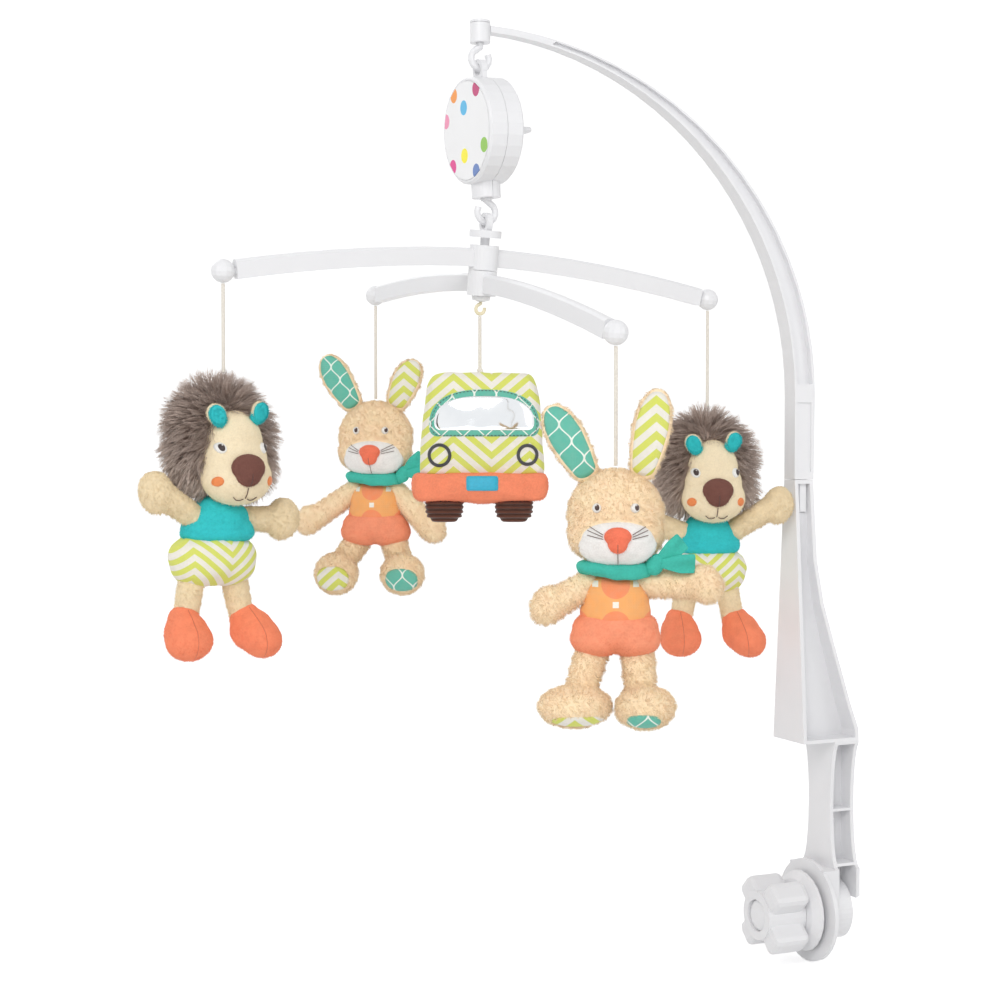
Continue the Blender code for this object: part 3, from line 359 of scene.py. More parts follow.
def lattice(tree, place, width, height, line):
    """1 on the lines of an ogee lattice, whose curved diamonds are width by height metres."""
    axis = add(tree, "ShaderNodeSeparateXYZ", {0: place})
    turn = add(tree, "ShaderNodeMath", {0: axis.outputs["Z"], 1: math.tau / height}, operation="MULTIPLY")
    wave = add(tree, "ShaderNodeMath", {0: turn.outputs[0]}, operation="SINE")
    across = add(tree, "ShaderNodeMath", {0: axis.outputs["X"], 1: 1 / width}, operation="MULTIPLY")
    found = None
    for side, start in ((0.25, 0.0), (-0.25, 0.5)):
        level = add(tree, "ShaderNodeMath", {0: across.outputs[0], 1: start}, operation="ADD").outputs[0]
        bent = {0: wave.outputs[0], 1: side, 2: level}
        moved = add(tree, "ShaderNodeMath", bent, operation="MULTIPLY_ADD")
        near = add(tree, "ShaderNodeMath", {0: moved.outputs[0], 1: 0.5}, operation="PINGPONG")
        on = add(tree, "ShaderNodeMath", {0: near.outputs[0], 1: line / width},
                 operation="LESS_THAN").outputs[0]
        found = on if found is None else add(tree, "ShaderNodeMath", {0: found, 1: on},
                                             operation="MAXIMUM").outputs[0]
    return found


def spots(tree, place, pitch, circle, square, raised):
    """Two masks, of circles in a square grid and of small squares half way between them."""
    axis = add(tree, "ShaderNodeSeparateXYZ", {0: place})
    masks = []
    for dx, dz, half in ((0.0, 0.0, circle), (0.5, 0.0, square), (0.0, 0.5, square)):
        away = []
        for name, part in (("X", dx), ("Z", dz + raised / pitch)):
            moved = {0: axis.outputs[name], 1: (10 + part) * pitch}
            moved = add(tree, "ShaderNodeMath", moved, operation="ADD").outputs[0]
            away.append(add(tree, "ShaderNodeMath", {0: moved, 1: pitch / 2},
                            operation="PINGPONG").outputs[0])
        if half == circle:
            flat = add(tree, "ShaderNodeCombineXYZ", {0: away[0], 1: away[1]}).outputs[0]
            far = add(tree, "ShaderNodeVectorMath", {0: flat}, operation="LENGTH").outputs["Value"]
        else:
            far = add(tree, "ShaderNodeMath", {0: away[0], 1: away[1]}, operation="MAXIMUM").outputs[0]
        masks.append(add(tree, "ShaderNodeMath", {0: far, 1: half}, operation="LESS_THAN").outputs[0])
    both = add(tree, "ShaderNodeMath", {0: masks[1], 1: masks[2]}, operation="MAXIMUM").outputs[0]
    return masks[0], both


def printed_cotton(name, ground, marks):
    """Plain-woven printed cotton: flat colours on a visible weave, 0.8 mm between its threads."""
    material, tree, shader, place = begin(name, Roughness=0.85, Sheen_Weight=0.15, Sheen_Roughness=0.5)
    tint = vary(tree, place, tuple(ground), shade(ground, 0.9), 0.01, 0.6)
    for code, mask in marks(tree, place):
        mix = add(tree, "ShaderNodeMix", {0: mask, 6: tint, 7: tuple(code)}, data_type="RGBA")
        tint = mix.outputs[2]
    tree.links.new(vary(tree, place, tint, (0.55, 0.5, 0.42, 1), 0.004, 0.1), shader.inputs["Base Color"])
    weave = add(tree, "ShaderNodeTexWave", {"Vector": place, "Scale": 1 / (5 * MM), "Distortion": 0.3})
    weft = add(
        tree, "ShaderNodeTexWave", {"Vector": place, "Scale": 1 / (5 * MM), "Distortion": 0.3},
        bands_direction="Z"
    )
    both = add(tree, "ShaderNodeMath", {0: weave.outputs["Fac"], 1: weft.outputs["Fac"]}, operation="ADD")
    raise_bump(tree, shader, both.outputs[0], 0.06 * MM, 0.7)
    return material


def corduroy(name, base, pitch=3.1 * MM):
    """Corduroy: raised velvet ribs 3 mm apart, with a painted highlight on the ribs and a painted shade in
    the grooves between them.
    """
    material, tree, shader, place = begin(name, Roughness=0.9, Sheen_Weight=0.35, Sheen_Roughness=0.4)
    axis = add(tree, "ShaderNodeSeparateXYZ", {0: place})
    rib = add(tree, "ShaderNodeMath", {0: axis.outputs["Z"], 1: math.tau / pitch}, operation="MULTIPLY")
    wave = add(tree, "ShaderNodeMath", {0: rib.outputs[0]}, operation="SINE")
    height = add(tree, "ShaderNodeMapRange", {0: wave.outputs[0], 1: -1.0, 2: 1.0})
    # painted light: the colour runs from a painted shade in the grooves to a painted highlight on the rib
    # tops
    dark = {0: height.outputs[0], 6: shade(base, 0.45), 7: shade(base, 1.25)}
    mix = add(tree, "ShaderNodeMix", dark, data_type="RGBA")
    tree.links.new(vary(tree, place, mix.outputs[2], shade(base, 0.7), 0.003, 0.4),
                   shader.inputs["Base Color"])
    raise_bump(tree, shader, height.outputs[0], 0.5 * MM, 1.0)
    return material


def satin_thread(name, base, spacing, along=(1.0, 0.0, 0.35)):
    """Satin-stitch embroidery in rayon thread: fine parallel threads with a soft lengthwise gloss."""
    material, tree, shader, place = begin(name, Roughness=0.45, Sheen_Weight=0.2, Sheen_Roughness=0.3)
    tree.links.new(vary(tree, place, tuple(base), shade(base, 0.8), 0.0015, 0.6),
                   shader.inputs["Base Color"])
    run = add(tree, "ShaderNodeVectorMath", {0: place, 1: along}, operation="DOT_PRODUCT").outputs["Value"]
    turn = add(tree, "ShaderNodeMath", {0: run, 1: math.tau / spacing}, operation="MULTIPLY")
    wave = add(tree, "ShaderNodeMath", {0: turn.outputs[0]}, operation="SINE")
    raise_bump(tree, shader, wave.outputs[0], 0.06 * MM, 0.8)
    return material


# Meshes

def link(name, mesh):
    """A new object of that mesh in the scene."""
    obj = bpy.data.objects.new(name, mesh)
    bpy.context.scene.collection.objects.link(obj)
    return obj


def apply_modifiers(obj):
    """Turns what the modifiers make into the piece's own mesh."""
    bpy.context.view_layer.update()
    seen = obj.evaluated_get(bpy.context.evaluated_depsgraph_get())
    mesh = bpy.data.meshes.new_from_object(seen)
    obj.modifiers.clear()
    obj.data = mesh
    return obj


def get_points(mesh):
    """The mesh's vertices as an array."""
    flat = np.empty(len(mesh.vertices) * 3)
    mesh.vertices.foreach_get("co", flat)
    return flat.reshape(-1, 3)


def get_normals(mesh):
    """The mesh's vertex normals as an array."""
    flat = np.empty(len(mesh.vertices) * 3)
    mesh.vertex_normals.foreach_get("vector", flat)
    return flat.reshape(-1, 3)


def set_points(mesh, points):
    """Moves the mesh's vertices."""
    mesh.vertices.foreach_set("co", np.asarray(points, dtype=float).ravel())
    mesh.update()


def rough(points, spacing, seed=0.0):
    """Smooth noise from -1 to 1 at each point, of that spacing."""
    return np.array([noise.noise(Vector(p) / spacing + Vector((seed, seed, seed))) for p in points])


def ruffle(obj, amount, spacing, seed=0.0):
    """Lifts and sinks the skin by up to amount in soft lumps of that spacing."""
    points = get_points(obj.data)
    lift = rough(points, spacing, seed)[:, None] * amount
    set_points(obj.data, points + get_normals(obj.data) * lift)
    return obj


def ball(centre, radii, turn=(0, 0, 0)):
    """One solid for fused: an ellipsoid, with its turn in degrees."""
    return (centre, radii, tuple(math.radians(a) for a in turn))


def limb(start, end, first, last, count=9):
    """Solids for fused: a tapered stuffed limb from start to end."""
    a, b = Vector(start), Vector(end)
    found = []
    for i in range(count):
        t = i / (count - 1)
        r = first + (last - first) * t
        found.append((tuple(a.lerp(b, t)), (r, r, r), (0, 0, 0)))
    return found


def fused(name, solids, voxel=1.1 * MM, smooth=8, divide=1):
    """One sewn and stuffed skin over overlapping solids: joined, remeshed together and smoothed."""
    bm = bmesh.new()
    for centre, radii, turn in solids:
        matrix = Matrix.LocRotScale(Vector(centre), Euler(turn), Vector(radii))
        bmesh.ops.create_icosphere(bm, subdivisions=4, radius=1, matrix=matrix)
    mesh = bpy.data.meshes.new(name)
    bm.to_mesh(mesh)
    bm.free()
    obj = link(name, mesh)
    skin = obj.modifiers.new("skin", "REMESH")
    skin.mode = "VOXEL"
    skin.voxel_size = voxel
    soft = obj.modifiers.new("soften", "SMOOTH")
    soft.iterations = smooth
    if divide:
        fine = obj.modifiers.new("divide", "SUBSURF")
        fine.levels = fine.render_levels = divide
    apply_modifiers(obj)
    obj.data.shade_smooth()
    return obj


def from_grid(name, rows, closed=True, caps=False):
    """A mesh over rows of points, each row a ring when closed. caps fills both ends."""
    rows = np.asarray(rows, dtype=float)
    high, wide = rows.shape[:2]
    bm = bmesh.new()
    verts = [[bm.verts.new(p) for p in row] for row in rows]
    for i in range(high - 1):
        for j in range(wide if closed else wide - 1):
            k = (j + 1) % wide
            bm.faces.new((verts[i][j], verts[i][k], verts[i + 1][k], verts[i + 1][j]))
    if caps:
        bm.faces.new(verts[0][::-1])
        bm.faces.new(verts[-1])
    bmesh.ops.recalc_face_normals(bm, faces=bm.faces)
    mesh = bpy.data.meshes.new(name)
    bm.to_mesh(mesh)
    bm.free()
    mesh.shade_smooth()
    return link(name, mesh)


def round_outline(points, count=96, soften=3):
    """A closed outline through points, evenly spaced, with its corners rounded."""
    loop = np.asarray(list(points) + [points[0]], dtype=float)
    steps = np.linalg.norm(np.diff(loop, axis=0), axis=1)
    run = np.concatenate([[0], np.cumsum(steps)])
    at = np.linspace(0, run[-1], count, endpoint=False)
    out = np.stack([np.interp(at, run, loop[:, i]) for i in range(2)], axis=1)
    for _ in range(soften):
        out = (np.roll(out, 1, axis=0) + 2 * out + np.roll(out, -1, axis=0)) / 4
    return out


def oval(width, height, x=0.0, z=0.0, count=48, power=2.0):
    """A rounded outline: power 2 is an ellipse, and more is squarer."""
    angles = np.linspace(0, math.tau, count, endpoint=False)
    c, s = np.cos(angles), np.sin(angles)
    u = np.sign(c) * np.abs(c) ** (2 / power) * width / 2 + x
    v = np.sign(s) * np.abs(s) ** (2 / power) * height / 2 + z
    return np.stack([u, v], axis=1)


def pillow(name, outline, depth, crown, gusset=0.0, rings=9, around=5, pinch=0.5 * MM, power=2.2):
    """A sewn pad in the XZ plane: crowned front and back panels and a gusset, drawn in along both seams.

    Its faces carry slot 0 on the front panel, 1 on the gusset and 2 on the back.
    """
    outline = np.asarray(outline, dtype=float)
    middle = outline.mean(axis=0)
    rows = []
    for k in range(rings + 1):
        s = 0.02 + 0.98 * k / rings
        y = -(depth / 2 + crown * (1 - s ** power))
        flat = middle + (outline - middle) * s
        rows.append(np.column_stack([flat[:, 0], np.full(len(flat), y), flat[:, 1]]))
    out = outline - middle
    out = out / np.linalg.norm(out, axis=1)[:, None]
    for k in range(1, around):
        t = k / around
        flat = outline + out * (gusset * math.sin(math.pi * t) + pinch)
        y = -depth / 2 + depth * t
        rows.append(np.column_stack([flat[:, 0], np.full(len(flat), y), flat[:, 1]]))
    for k in range(rings, -1, -1):
        s = 0.02 + 0.98 * k / rings
        y = depth / 2 + crown * (1 - s ** power)
        flat = middle + (outline - middle) * s
        rows.append(np.column_stack([flat[:, 0], np.full(len(flat), y), flat[:, 1]]))
    obj = from_grid(name, rows, caps=True)
    wide = len(outline)
    last = (len(rows) - 1) * wide
    for face in obj.data.polygons:
        row = face.index // wide
        front = row < rings or face.index == last
        side = rings <= row < rings + around and face.index < last
        face.material_index = 0 if front else 1 if side else 2
    fine = obj.modifiers.new("divide", "SUBSURF")
    fine.levels = fine.render_levels = 1
    apply_modifiers(obj)
    obj.data.shade_smooth()
    return obj


class Skin:
    """A piece's surface, for laying things on it along one direction."""

    def __init__(self, obj, aim=(0, 1, 0), up=(0, 0, 1), shift=None):
        self.aim = Vector(aim).normalized()
        self.right = self.aim.cross(Vector(up)).normalized()
        self.up = self.right.cross(self.aim)
        matrix = shift or Matrix.Identity(4)
        verts = [matrix @ v.co for v in obj.data.vertices]
        self.tree = BVHTree.FromPolygons(verts, [p.vertices[:] for p in obj.data.polygons])

    def at(self, u, v, lift=0.0, centre=(0, 0, 0)):
        """The point of the skin under (u, v), raised by lift."""
        start = Vector(centre) + self.right * u + self.up * v - self.aim * 0.15
        hit, normal, _, _ = self.tree.ray_cast(start, self.aim)
        if hit is None:
            hit, normal, _, _ = self.tree.find_nearest(start + self.aim * 0.15)
        if normal.dot(self.aim) > 0:
            normal = -normal
        return hit + normal * lift

    def patch(self, name, outline, lift, power=4.0, rings=7, bury=0.5 * MM, centre=(0, 0, 0)):
        """A thin sewn or stitched patch that follows the skin inside that outline."""
        outline = np.asarray(outline, dtype=float)
        middle = outline.mean(axis=0)
        rows = []
        for k in range(rings + 1):
            s = 0.03 + 0.97 * k / rings
            row = [self.at(*(middle + (p - middle) * s), lift * (1 - 0.85 * s ** power),
                           centre) for p in outline]
            rows.append(row)
        rows.append([self.at(*(middle + (p - middle) * 1.01), -bury, centre) for p in outline])
        obj = from_grid(name, [[tuple(p) for p in row] for row in rows], caps=False)
        bm = bmesh.new()
        bm.from_mesh(obj.data)
        bmesh.ops.holes_fill(bm, edges=bm.edges, sides=len(outline))
        bmesh.ops.recalc_face_normals(bm, faces=bm.faces)
        bm.to_mesh(obj.data)
        bm.free()
        obj.data.shade_smooth()
        return obj

    def line(self, points, lift=0.2 * MM, centre=(0, 0, 0), count=14):
        """Points of a stitched line on the skin, through the given (u, v) points."""
        points = np.asarray(points, dtype=float)
        run = np.linspace(0, len(points) - 1, count)
        at = [np.interp(run, range(len(points)), points[:, i]) for i in range(2)]
        return [self.at(u, v, lift, centre) for u, v in zip(*at)]


def threads(name, lines, radius):
    """Lines of thread, as one piece."""
    curve = bpy.data.curves.new(name, "CURVE")
    curve.dimensions = "3D"
    curve.bevel_depth = radius
    curve.bevel_resolution = 2
    curve.use_fill_caps = True
    for points in lines:
        spline = curve.splines.new("POLY")
        spline.points.add(len(points) - 1)
        for point, where in zip(spline.points, points):
            point.co = (*where, 1.0)
    return link(name, curve)


def hair(base, count, long, thick, comb, seed, curl=0.0, turns=1.5, clump=0.0, tufts=300, lie=0.6,
         joints=4, skip=None):
    """Adds tapered hairs rooted all over a piece to its mesh.

    comb gives the lying direction at each root, lie is how flat the hairs lie, and clump draws them
    together into tufts towards their tips.
    """
    rng = np.random.default_rng(seed)
    mesh = base.data
    mesh.calc_loop_triangles()
    corners = np.empty(len(mesh.loop_triangles) * 3, dtype=int)
    mesh.loop_triangles.foreach_get("vertices", corners)
    points = get_points(mesh)
    a, b, c = (points[corners.reshape(-1, 3)[:, i]] for i in range(3))
    cross = np.cross(b - a, c - a)
    size = np.linalg.norm(cross, axis=1)
    picked = rng.choice(len(size), count, p=size / size.sum())
    u, v = rng.random(count), rng.random(count)
    over = u + v > 1
    u[over], v[over] = 1 - u[over], 1 - v[over]
    root = a[picked] + (b - a)[picked] * u[:, None] + (c - a)[picked] * v[:, None]
    normal = cross[picked] / size[picked][:, None]
    if skip is not None:
        keep = ~skip(root, normal)
        root, normal = root[keep], normal[keep]
        count = len(root)
    lay = comb(root, normal) + rng.normal(0, 0.18, (count, 3))
    lay = lay - normal * (lay * normal).sum(axis=1)[:, None] * 0.5
    lay /= np.linalg.norm(lay, axis=1)[:, None]
    reach = long * (0.7 + 0.45 * rng.random(count))[:, None]
    t = np.linspace(0, 1, joints + 1)[None, :, None]
    rise = normal[:, None] * (t - lie * 0.5 * t ** 2)
    drift = lay[:, None] * (0.25 * t + 0.75 * t ** 2) * lie
    path = root[:, None] + reach[:, None] * (rise + drift)
    if clump:
        heads = rng.choice(count, tufts, replace=False)
        away = ((root[:, None] - root[heads][None]) ** 2).sum(axis=2)
        near = heads[away.argmin(axis=1)]
        path = path + (path[near] - path) * (clump * t ** 1.3)
    side = np.cross(normal, lay)
    side /= np.linalg.norm(side, axis=1)[:, None]
    if curl:
        phase = rng.random(count)[:, None, None] * math.tau
        angle = math.tau * turns * t + phase
        path = path + curl * t ** 0.5 * (side[:, None] * np.cos(angle) + lay[:, None] * np.sin(angle))
    other = np.cross(side, normal)
    corner = np.arange(3) * math.tau / 3
    ring = side[:, None] * np.cos(corner)[None, :, None] + other[:, None] * np.sin(corner)[None, :, None]
    width = thick / 2 * (1 - 0.8 * t)
    verts = path[:, :, None] + ring[:, None] * width[..., None]
    rows = joints + 1
    start = (np.arange(count) * rows * 3)[:, None, None]
    i = np.arange(joints)[None, :, None] * 3
    j = np.arange(3)[None, None, :]
    k = (j + 1) % 3
    quads = np.stack(np.broadcast_arrays(start + i + j, start + i + k, start + i + 3 + k,
                                         start + i + 3 + j), axis=-1)
    tops = (np.arange(count) * rows * 3 + joints * 3)[:, None] + np.arange(3)
    hairs = bpy.data.meshes.new(base.name + "_hairs")
    hairs.from_pydata(verts.reshape(-1, 3).tolist(), [], quads.reshape(-1, 4).tolist() + tops.tolist())
    hairs.shade_smooth()
    bm = bmesh.new()
    bm.from_mesh(mesh)
    bm.from_mesh(hairs)
    bm.to_mesh(mesh)
    bm.free()
    bpy.data.meshes.remove(hairs)
    return base


def paint(obj, *materials):
    """Gives the piece these materials, one for each of its slots."""
    obj.data.materials.clear()
    for material in materials:
        obj.data.materials.append(material)
    return obj


class Toy:
    """One hanging toy: its place, its body in the frame and the pieces made for it."""

    def __init__(self, side, body, yaw):
        low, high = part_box(side + "_string")
        place = ((low[0] + high[0]) / 2, (low[1] + high[1]) / 2, low[2] - 0.0003)
        self.name = body
        self.matrix = Matrix.Translation(place) @ Matrix.Rotation(math.radians(yaw), 4, "Z")

    def wear(self, obj, *materials, nodes=(), slot=None, fill=None):
        """Hangs a piece made about the toy's own top, with its front along -Y."""
        if materials:
            paint(obj, *materials)
        obj.name = self.name + "_" + obj.name
        obj.matrix_world = self.matrix
        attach(obj, self.name)
        if nodes:
            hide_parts(*nodes)
        return obj


def down(root, normal):
    """Pile that lies downwards."""
    return np.tile((0.0, -0.1, -1.0), (len(root), 1))


# Operators

class MOBILE_OT_hard_parts(bpy.types.Operator):
    """Finish the arm, clamp, music box, cross and metal parts in their plastics and metals"""

    bl_idname = "crib_mobile.hard_parts"
    bl_label = "Plastics and metals"

    def execute(self, context):
        look = context.scene.mobile_hard
        low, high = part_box("face_disc")
        centre = tuple((a + b) / 2 for a, b in zip(low, high))
        turn, lean = math.radians(4), math.radians(-3.2)
        dots = (
            ("F7941E", -15.9, 26.2), ("C1126B", 16.9, 25.2), ("45B7E8", -2.1, 15.7),
            ("F48FB5", -29.4, 10.7),
            ("FFF200", -4.3, -16.3), ("8CC63F", 24.8, -13.1), ("E5118A", -22.4, -21.5),
            ("5A7DBE", 11.7, -28.8),
        )
        across = (math.sin(turn), -math.cos(turn), 0.0)
        film = printed_film("printed_film", look.disc, centre, across,
                            (math.sin(lean), 0.0, math.cos(lean)), dots, 0.005)
        white = moulded_abs("white_abs", look.plastic)
        knob = moulded_abs("knob_abs", look.plastic, 0.42)
        ivory = moulded_abs("ivory_abs", look.toy_hook, 0.45)
        steel = plated_steel("zinc_plated_steel", look.steel)
        brass = drawn_brass("drawn_brass", look.brass)
        by_slot = {"steel": steel, "brass": brass, "printed_film": film}
        by_node = {"star_knob": knob, "pressure_plate": knob, "toy_hook": ivory}
        for name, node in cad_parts.items():
            old = node.data.materials[0].name if node.data.materials else ""
            fallback = next((made for slot, made in by_slot.items() if old.startswith(slot)), white)
            paint(node, by_node.get(name, fallback))
        return {"FINISHED"}


class MOBILE_OT_strings(bpy.types.Operator):
    """Twist the five cotton cords that carry the toys"""

    bl_idname = "crib_mobile.strings"
    bl_label = "Cords"

    def execute(self, context):
        cotton = twisted_cotton("twisted_cotton", context.scene.mobile_hard.cord)
        radius = 0.00125
        for side in ("left", "right", "front", "back", "van"):
            low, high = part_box(side + "_string")
            x, y = (low[0] + high[0]) / 2, (low[1] + high[1]) / 2
            long = high[2] - low[2]
            steps = round(long / 0.0006)
            path, rows = [], []
            for i in range(steps + 1):
                z = high[2] - long * i / steps
                path.append((x, y, z))
                spin = math.tau * i * 0.0006 / 0.0062
                row = []
                for k in range(24):
                    angle = math.tau * k / 24
                    r = radius * (0.8 + 0.2 * abs(math.cos(1.5 * (angle - spin))))
                    row.append((x + r * math.cos(angle), y + r * math.sin(angle), z))
                rows.append(row)
            piece = from_grid(side + "_cord", rows, caps=True)
            paint(piece, cotton)
            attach(piece, side + "_cord")
            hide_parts(side + "_string")
        return {"FINISHED"}


class MOBILE_OT_lions(bpy.types.Operator):
    """Sew the two lions: maned heads, turquoise shirts, chevron shorts and coral shoes"""

    bl_idname = "crib_mobile.lions"
    bl_label = "Lions"

    def execute(self, context):
        look, sizes = context.scene.mobile_lion, context.scene.mobile_soft
        centre, radii = (0.0, 0.003, -0.039), (0.042, 0.034, 0.044)
        cloths = {
            "mane": long_fur("long_acrylic_fur", look.mane, look.mane_tip, centre, radii),
            "face": velour("short_cream_plush", look.face, 0.9 * MM, 0.2 * MM, 0.35),
            "limbs": velour("sand_terry", look.limbs, 1.6 * MM, 0.5 * MM, 0.6),
            "nose": velour("brown_velour", look.nose),
            "shirt": velour("turquoise_velour", look.shirt, 1.3 * MM, 0.35 * MM),
            "shoes": velour("coral_velour", look.shoes, 1.2 * MM, 0.3 * MM),
            "ear_back": velour("cream_velour", look.face),
            "white": satin_thread("white_satin_thread", linear("F4F2EE"), sizes.satin),
            "dark": satin_thread("dark_satin_thread", linear("3A2A28"), sizes.satin),
            "cheeks": satin_thread("orange_satin_thread", look.cheeks, sizes.satin),
            "seam": satin_thread("brown_thread", shade(look.nose, 0.55), sizes.satin),
            "shoe_seam": satin_thread("coral_thread", shade(look.shoes, 0.7), sizes.satin),
            "cotton": printed_cotton(
                "chevron_cotton", look.pale,
                lambda tree, place: [(look.lime, stripes(tree, place, sizes.chevron_width,
                                                         sizes.chevron_stripe * 0.8, 0.027))],
            ),
        }
        self.sew(Toy("left", "left_lion", 9), cloths, sizes, -0.008, (-0.049, -0.076), (0.040, -0.094), 11)
        self.sew(Toy("right", "right_lion", -20), cloths, sizes, 0.0, (-0.046, -0.084), (0.053, -0.072), 12)
        return {"FINISHED"}

    def sew(self, toy, cloths, sizes, lean, left, right, seed):
        """One lion."""
        name = toy.name
        self.head(toy, cloths, sizes, seed)
        torso = fused("shirt", [
            ball((lean * 0.6, 0.0, -0.0995), (0.0245, 0.0185, 0.0115)),
            ball((lean / 2, 0.0, -0.0930), (0.0215, 0.0165, 0.0120)),
            ball((lean / 2, 0.0, -0.0880), (0.0165, 0.0140, 0.0110)),
        ])
        ruffle(torso, 0.5 * MM, 0.012, seed)
        hem = get_points(torso.data)
        low = np.clip((-0.100 - hem[:, 2]) / 0.008, 0, 1)
        hem[:, :2] += (hem[:, :2] - (lean / 2, 0.0)) * (0.16 * low)[:, None]
        set_points(torso.data, hem)
        hair(torso, 4200, 0.9 * MM, 0.22 * MM, down, seed + 12, lie=0.6, joints=2)
        toy.wear(torso, cloths["shirt"], nodes=[name + "_body"], slot="turquoise_plush", fill=0.8)
        arms = []
        for side, (x, z) in ((-1, left), (1, right)):
            shoulder = (lean / 2 + side * 0.015, -0.001, -0.0935)
            hand = (x - side * 0.004, -0.004, z)
            arms += limb(shoulder, hand, 0.0080, 0.0088)
            arms.append(ball((x - side * 0.001, -0.0045, z), (0.0112, 0.0098, 0.0140), (0, side * 12, 0)))
        arms = ruffle(fused("arms", arms), 0.45 * MM, 0.0035, seed + 1.0)
        ruffle(arms, 0.5 * MM, 0.011, seed + 2.0)
        hair(arms, 4500, sizes.terry, 0.32 * MM, down, seed + 3, lie=0.5, joints=2)
        toy.wear(arms, cloths["limbs"], slot="cream_plush", nodes=[name + "_body"], fill=0.8)
        shorts = fused("shorts", [
            ball((lean, 0.0, -0.1175), (0.0295, 0.0205, 0.0185)),
            ball((lean - 0.0110, 0.0, -0.1210), (0.0175, 0.0185, 0.0160)),
            ball((lean + 0.0110, 0.0, -0.1210), (0.0175, 0.0185, 0.0160)),
        ], smooth=10)
        self.gather(shorts, lean, seed)
        toy.wear(shorts, cloths["cotton"], slot="chevron_cotton", nodes=[name + "_body"], fill=0.6)
        legs = []
        for side in (-1, 1):
            hip = (lean + side * 0.0140, 0.0, -0.128)
            foot = (lean + side * 0.0195, -0.001, -0.1570)
            legs += limb(hip, foot, 0.0088, 0.0080)
        legs = ruffle(fused("legs", legs), 0.45 * MM, 0.0035, seed + 4.0)
        hair(legs, 2500, sizes.terry, 0.32 * MM, down, seed + 5, lie=0.5, joints=2)
        toy.wear(legs, cloths["limbs"], slot="cream_plush", nodes=[name + "_body"], fill=0.8)
        self.shoes(toy, cloths, lean, seed)

    def gather(self, shorts, lean, seed):
        """Draws the shorts' cloth in along waist and legs, in small folds."""
        points = get_points(shorts.data)
        x, y, z = (points - (lean, 0.0, 0.0)).T
        angle = np.arctan2(y, x)
        high = np.clip((z + 0.110) / 0.008, 0, 1)
        low = np.clip((-0.130 - z) / 0.010, 0, 1)
        fold = np.sin(angle * 15 + 2.0 * np.sin(angle * 3 + seed))
        grow = (0.045 * high + 0.05 * low) * fold - 0.12 * high - 0.06 * low
        points[:, 0] += x * grow
        points[:, 1] += y * grow
        set_points(shorts.data, points)
        ruffle(shorts, 0.6 * MM, 0.010, seed + 6.0)

    def head(self, toy, cloths, sizes, seed):
        """The maned head with its sewn and stitched features."""
        name = toy.name
        core = fused("mane", [
            ball((0.0, 0.008, -0.0400), (0.0300, 0.0200, 0.0305)),
            ball((-0.014, 0.006, -0.0550), (0.0165, 0.0160, 0.0190)),
            ball((0.014, 0.006, -0.0550), (0.0165, 0.0160, 0.0190)),
        ], voxel=1.8 * MM, divide=0)

        def comb(root, normal):
            away = root - np.array((0.0, 0.004, -0.034))
            away[:, 1] *= 0.35
            away[:, 2] = away[:, 2] * 0.8 - 0.008
            size = np.linalg.norm(away, axis=1)[:, None]
            swirl = np.stack([0.25 * np.sin(root[:, 2] * 260 + seed), np.full(len(root), -0.15),
                              0.2 * np.cos(root[:, 0] * 240 + seed)], axis=1)
            return away / size + swirl

        def face_side(root, normal):
            flat = ((root[:, 0] - 0.002) / 0.0175) ** 2 + ((root[:, 2] + 0.058) / 0.027) ** 2
            return (root[:, 1] < 0.0) & (flat < 1)

        hair(core, 10500, sizes.mane_hair, 0.6 * MM, comb, seed, clump=0.55, tufts=1300, lie=0.78,
             joints=3, skip=face_side)
        toy.wear(core, cloths["mane"], nodes=[name + "_mane"], slot="brown_fur", fill=0.8)
        face = fused("head", [
            ball((0.002, -0.0115, -0.0455), (0.0185, 0.0160, 0.0215)),
            ball((0.002, -0.0145, -0.0665), (0.0232, 0.0195, 0.0180)),
            ball((0.002, -0.0130, -0.0560), (0.0210, 0.0180, 0.0190)),
        ], smooth=12)
        ruffle(face, 0.12 * MM, 0.002, seed)
        skin = Skin(face)
        hair(face, 5200, 0.9 * MM, 0.2 * MM, down, seed + 7, lie=0.7, joints=2)
        toy.wear(face, cloths["face"], nodes=[name + "_head"], slot="cream_plush", fill=0.9)
        nose = fused("nose", [
            ball((0.0020, -0.0325, -0.0605), (0.0112, 0.0075, 0.0088)),
            ball((0.0020, -0.0325, -0.0640), (0.0090, 0.0070, 0.0085)),
        ], voxel=0.7 * MM, smooth=14)
        front = Skin(nose)
        seam = front.line([(0.002, -0.0640), (0.0022, -0.0722)], 0.05 * MM)
        hair(nose, 1500, 0.7 * MM, 0.2 * MM, down, seed + 13, lie=0.6, joints=2)
        toy.wear(nose, cloths["nose"], slot="brown_fur", fill=0.9)
        lines = [seam, skin.line([(0.002, -0.0730), (0.002, -0.0795)], 0.35 * MM)]
        for side in (-1, 1):
            arc = [(0.0013, -0.0797), (0.0034, -0.0806), (0.0056, -0.0803), (0.0078, -0.0785)]
            lines.append(skin.line([(0.002 + side * x, z) for x, z in arc], 0.7 * MM))
        toy.wear(threads("stitches", lines, 0.3 * MM), cloths["seam"])
        for side in (-1, 1):
            word = "left" if side < 0 else "right"
            x = 0.002 + side * 0.0145
            eye = skin.patch(word + "_eye", oval(0.0060, 0.0070, x, -0.0480), 1.5 * MM)
            toy.wear(eye, cloths["white"])
            pupil = skin.patch(word + "_pupil", oval(0.0040, 0.0056, x + 0.0006, -0.0480), 2.0 * MM)
            toy.wear(pupil, cloths["dark"])
            light = skin.patch(word + "_glint", oval(0.0011, 0.0011, x + 0.0013, -0.0470, 20), 2.35 * MM,
                               rings=3)
            toy.wear(light, cloths["white"])
            cheek = skin.patch(word + "_cheek", oval(0.0058, 0.0062, 0.002 + side * 0.0178, -0.0690),
                               1.0 * MM)
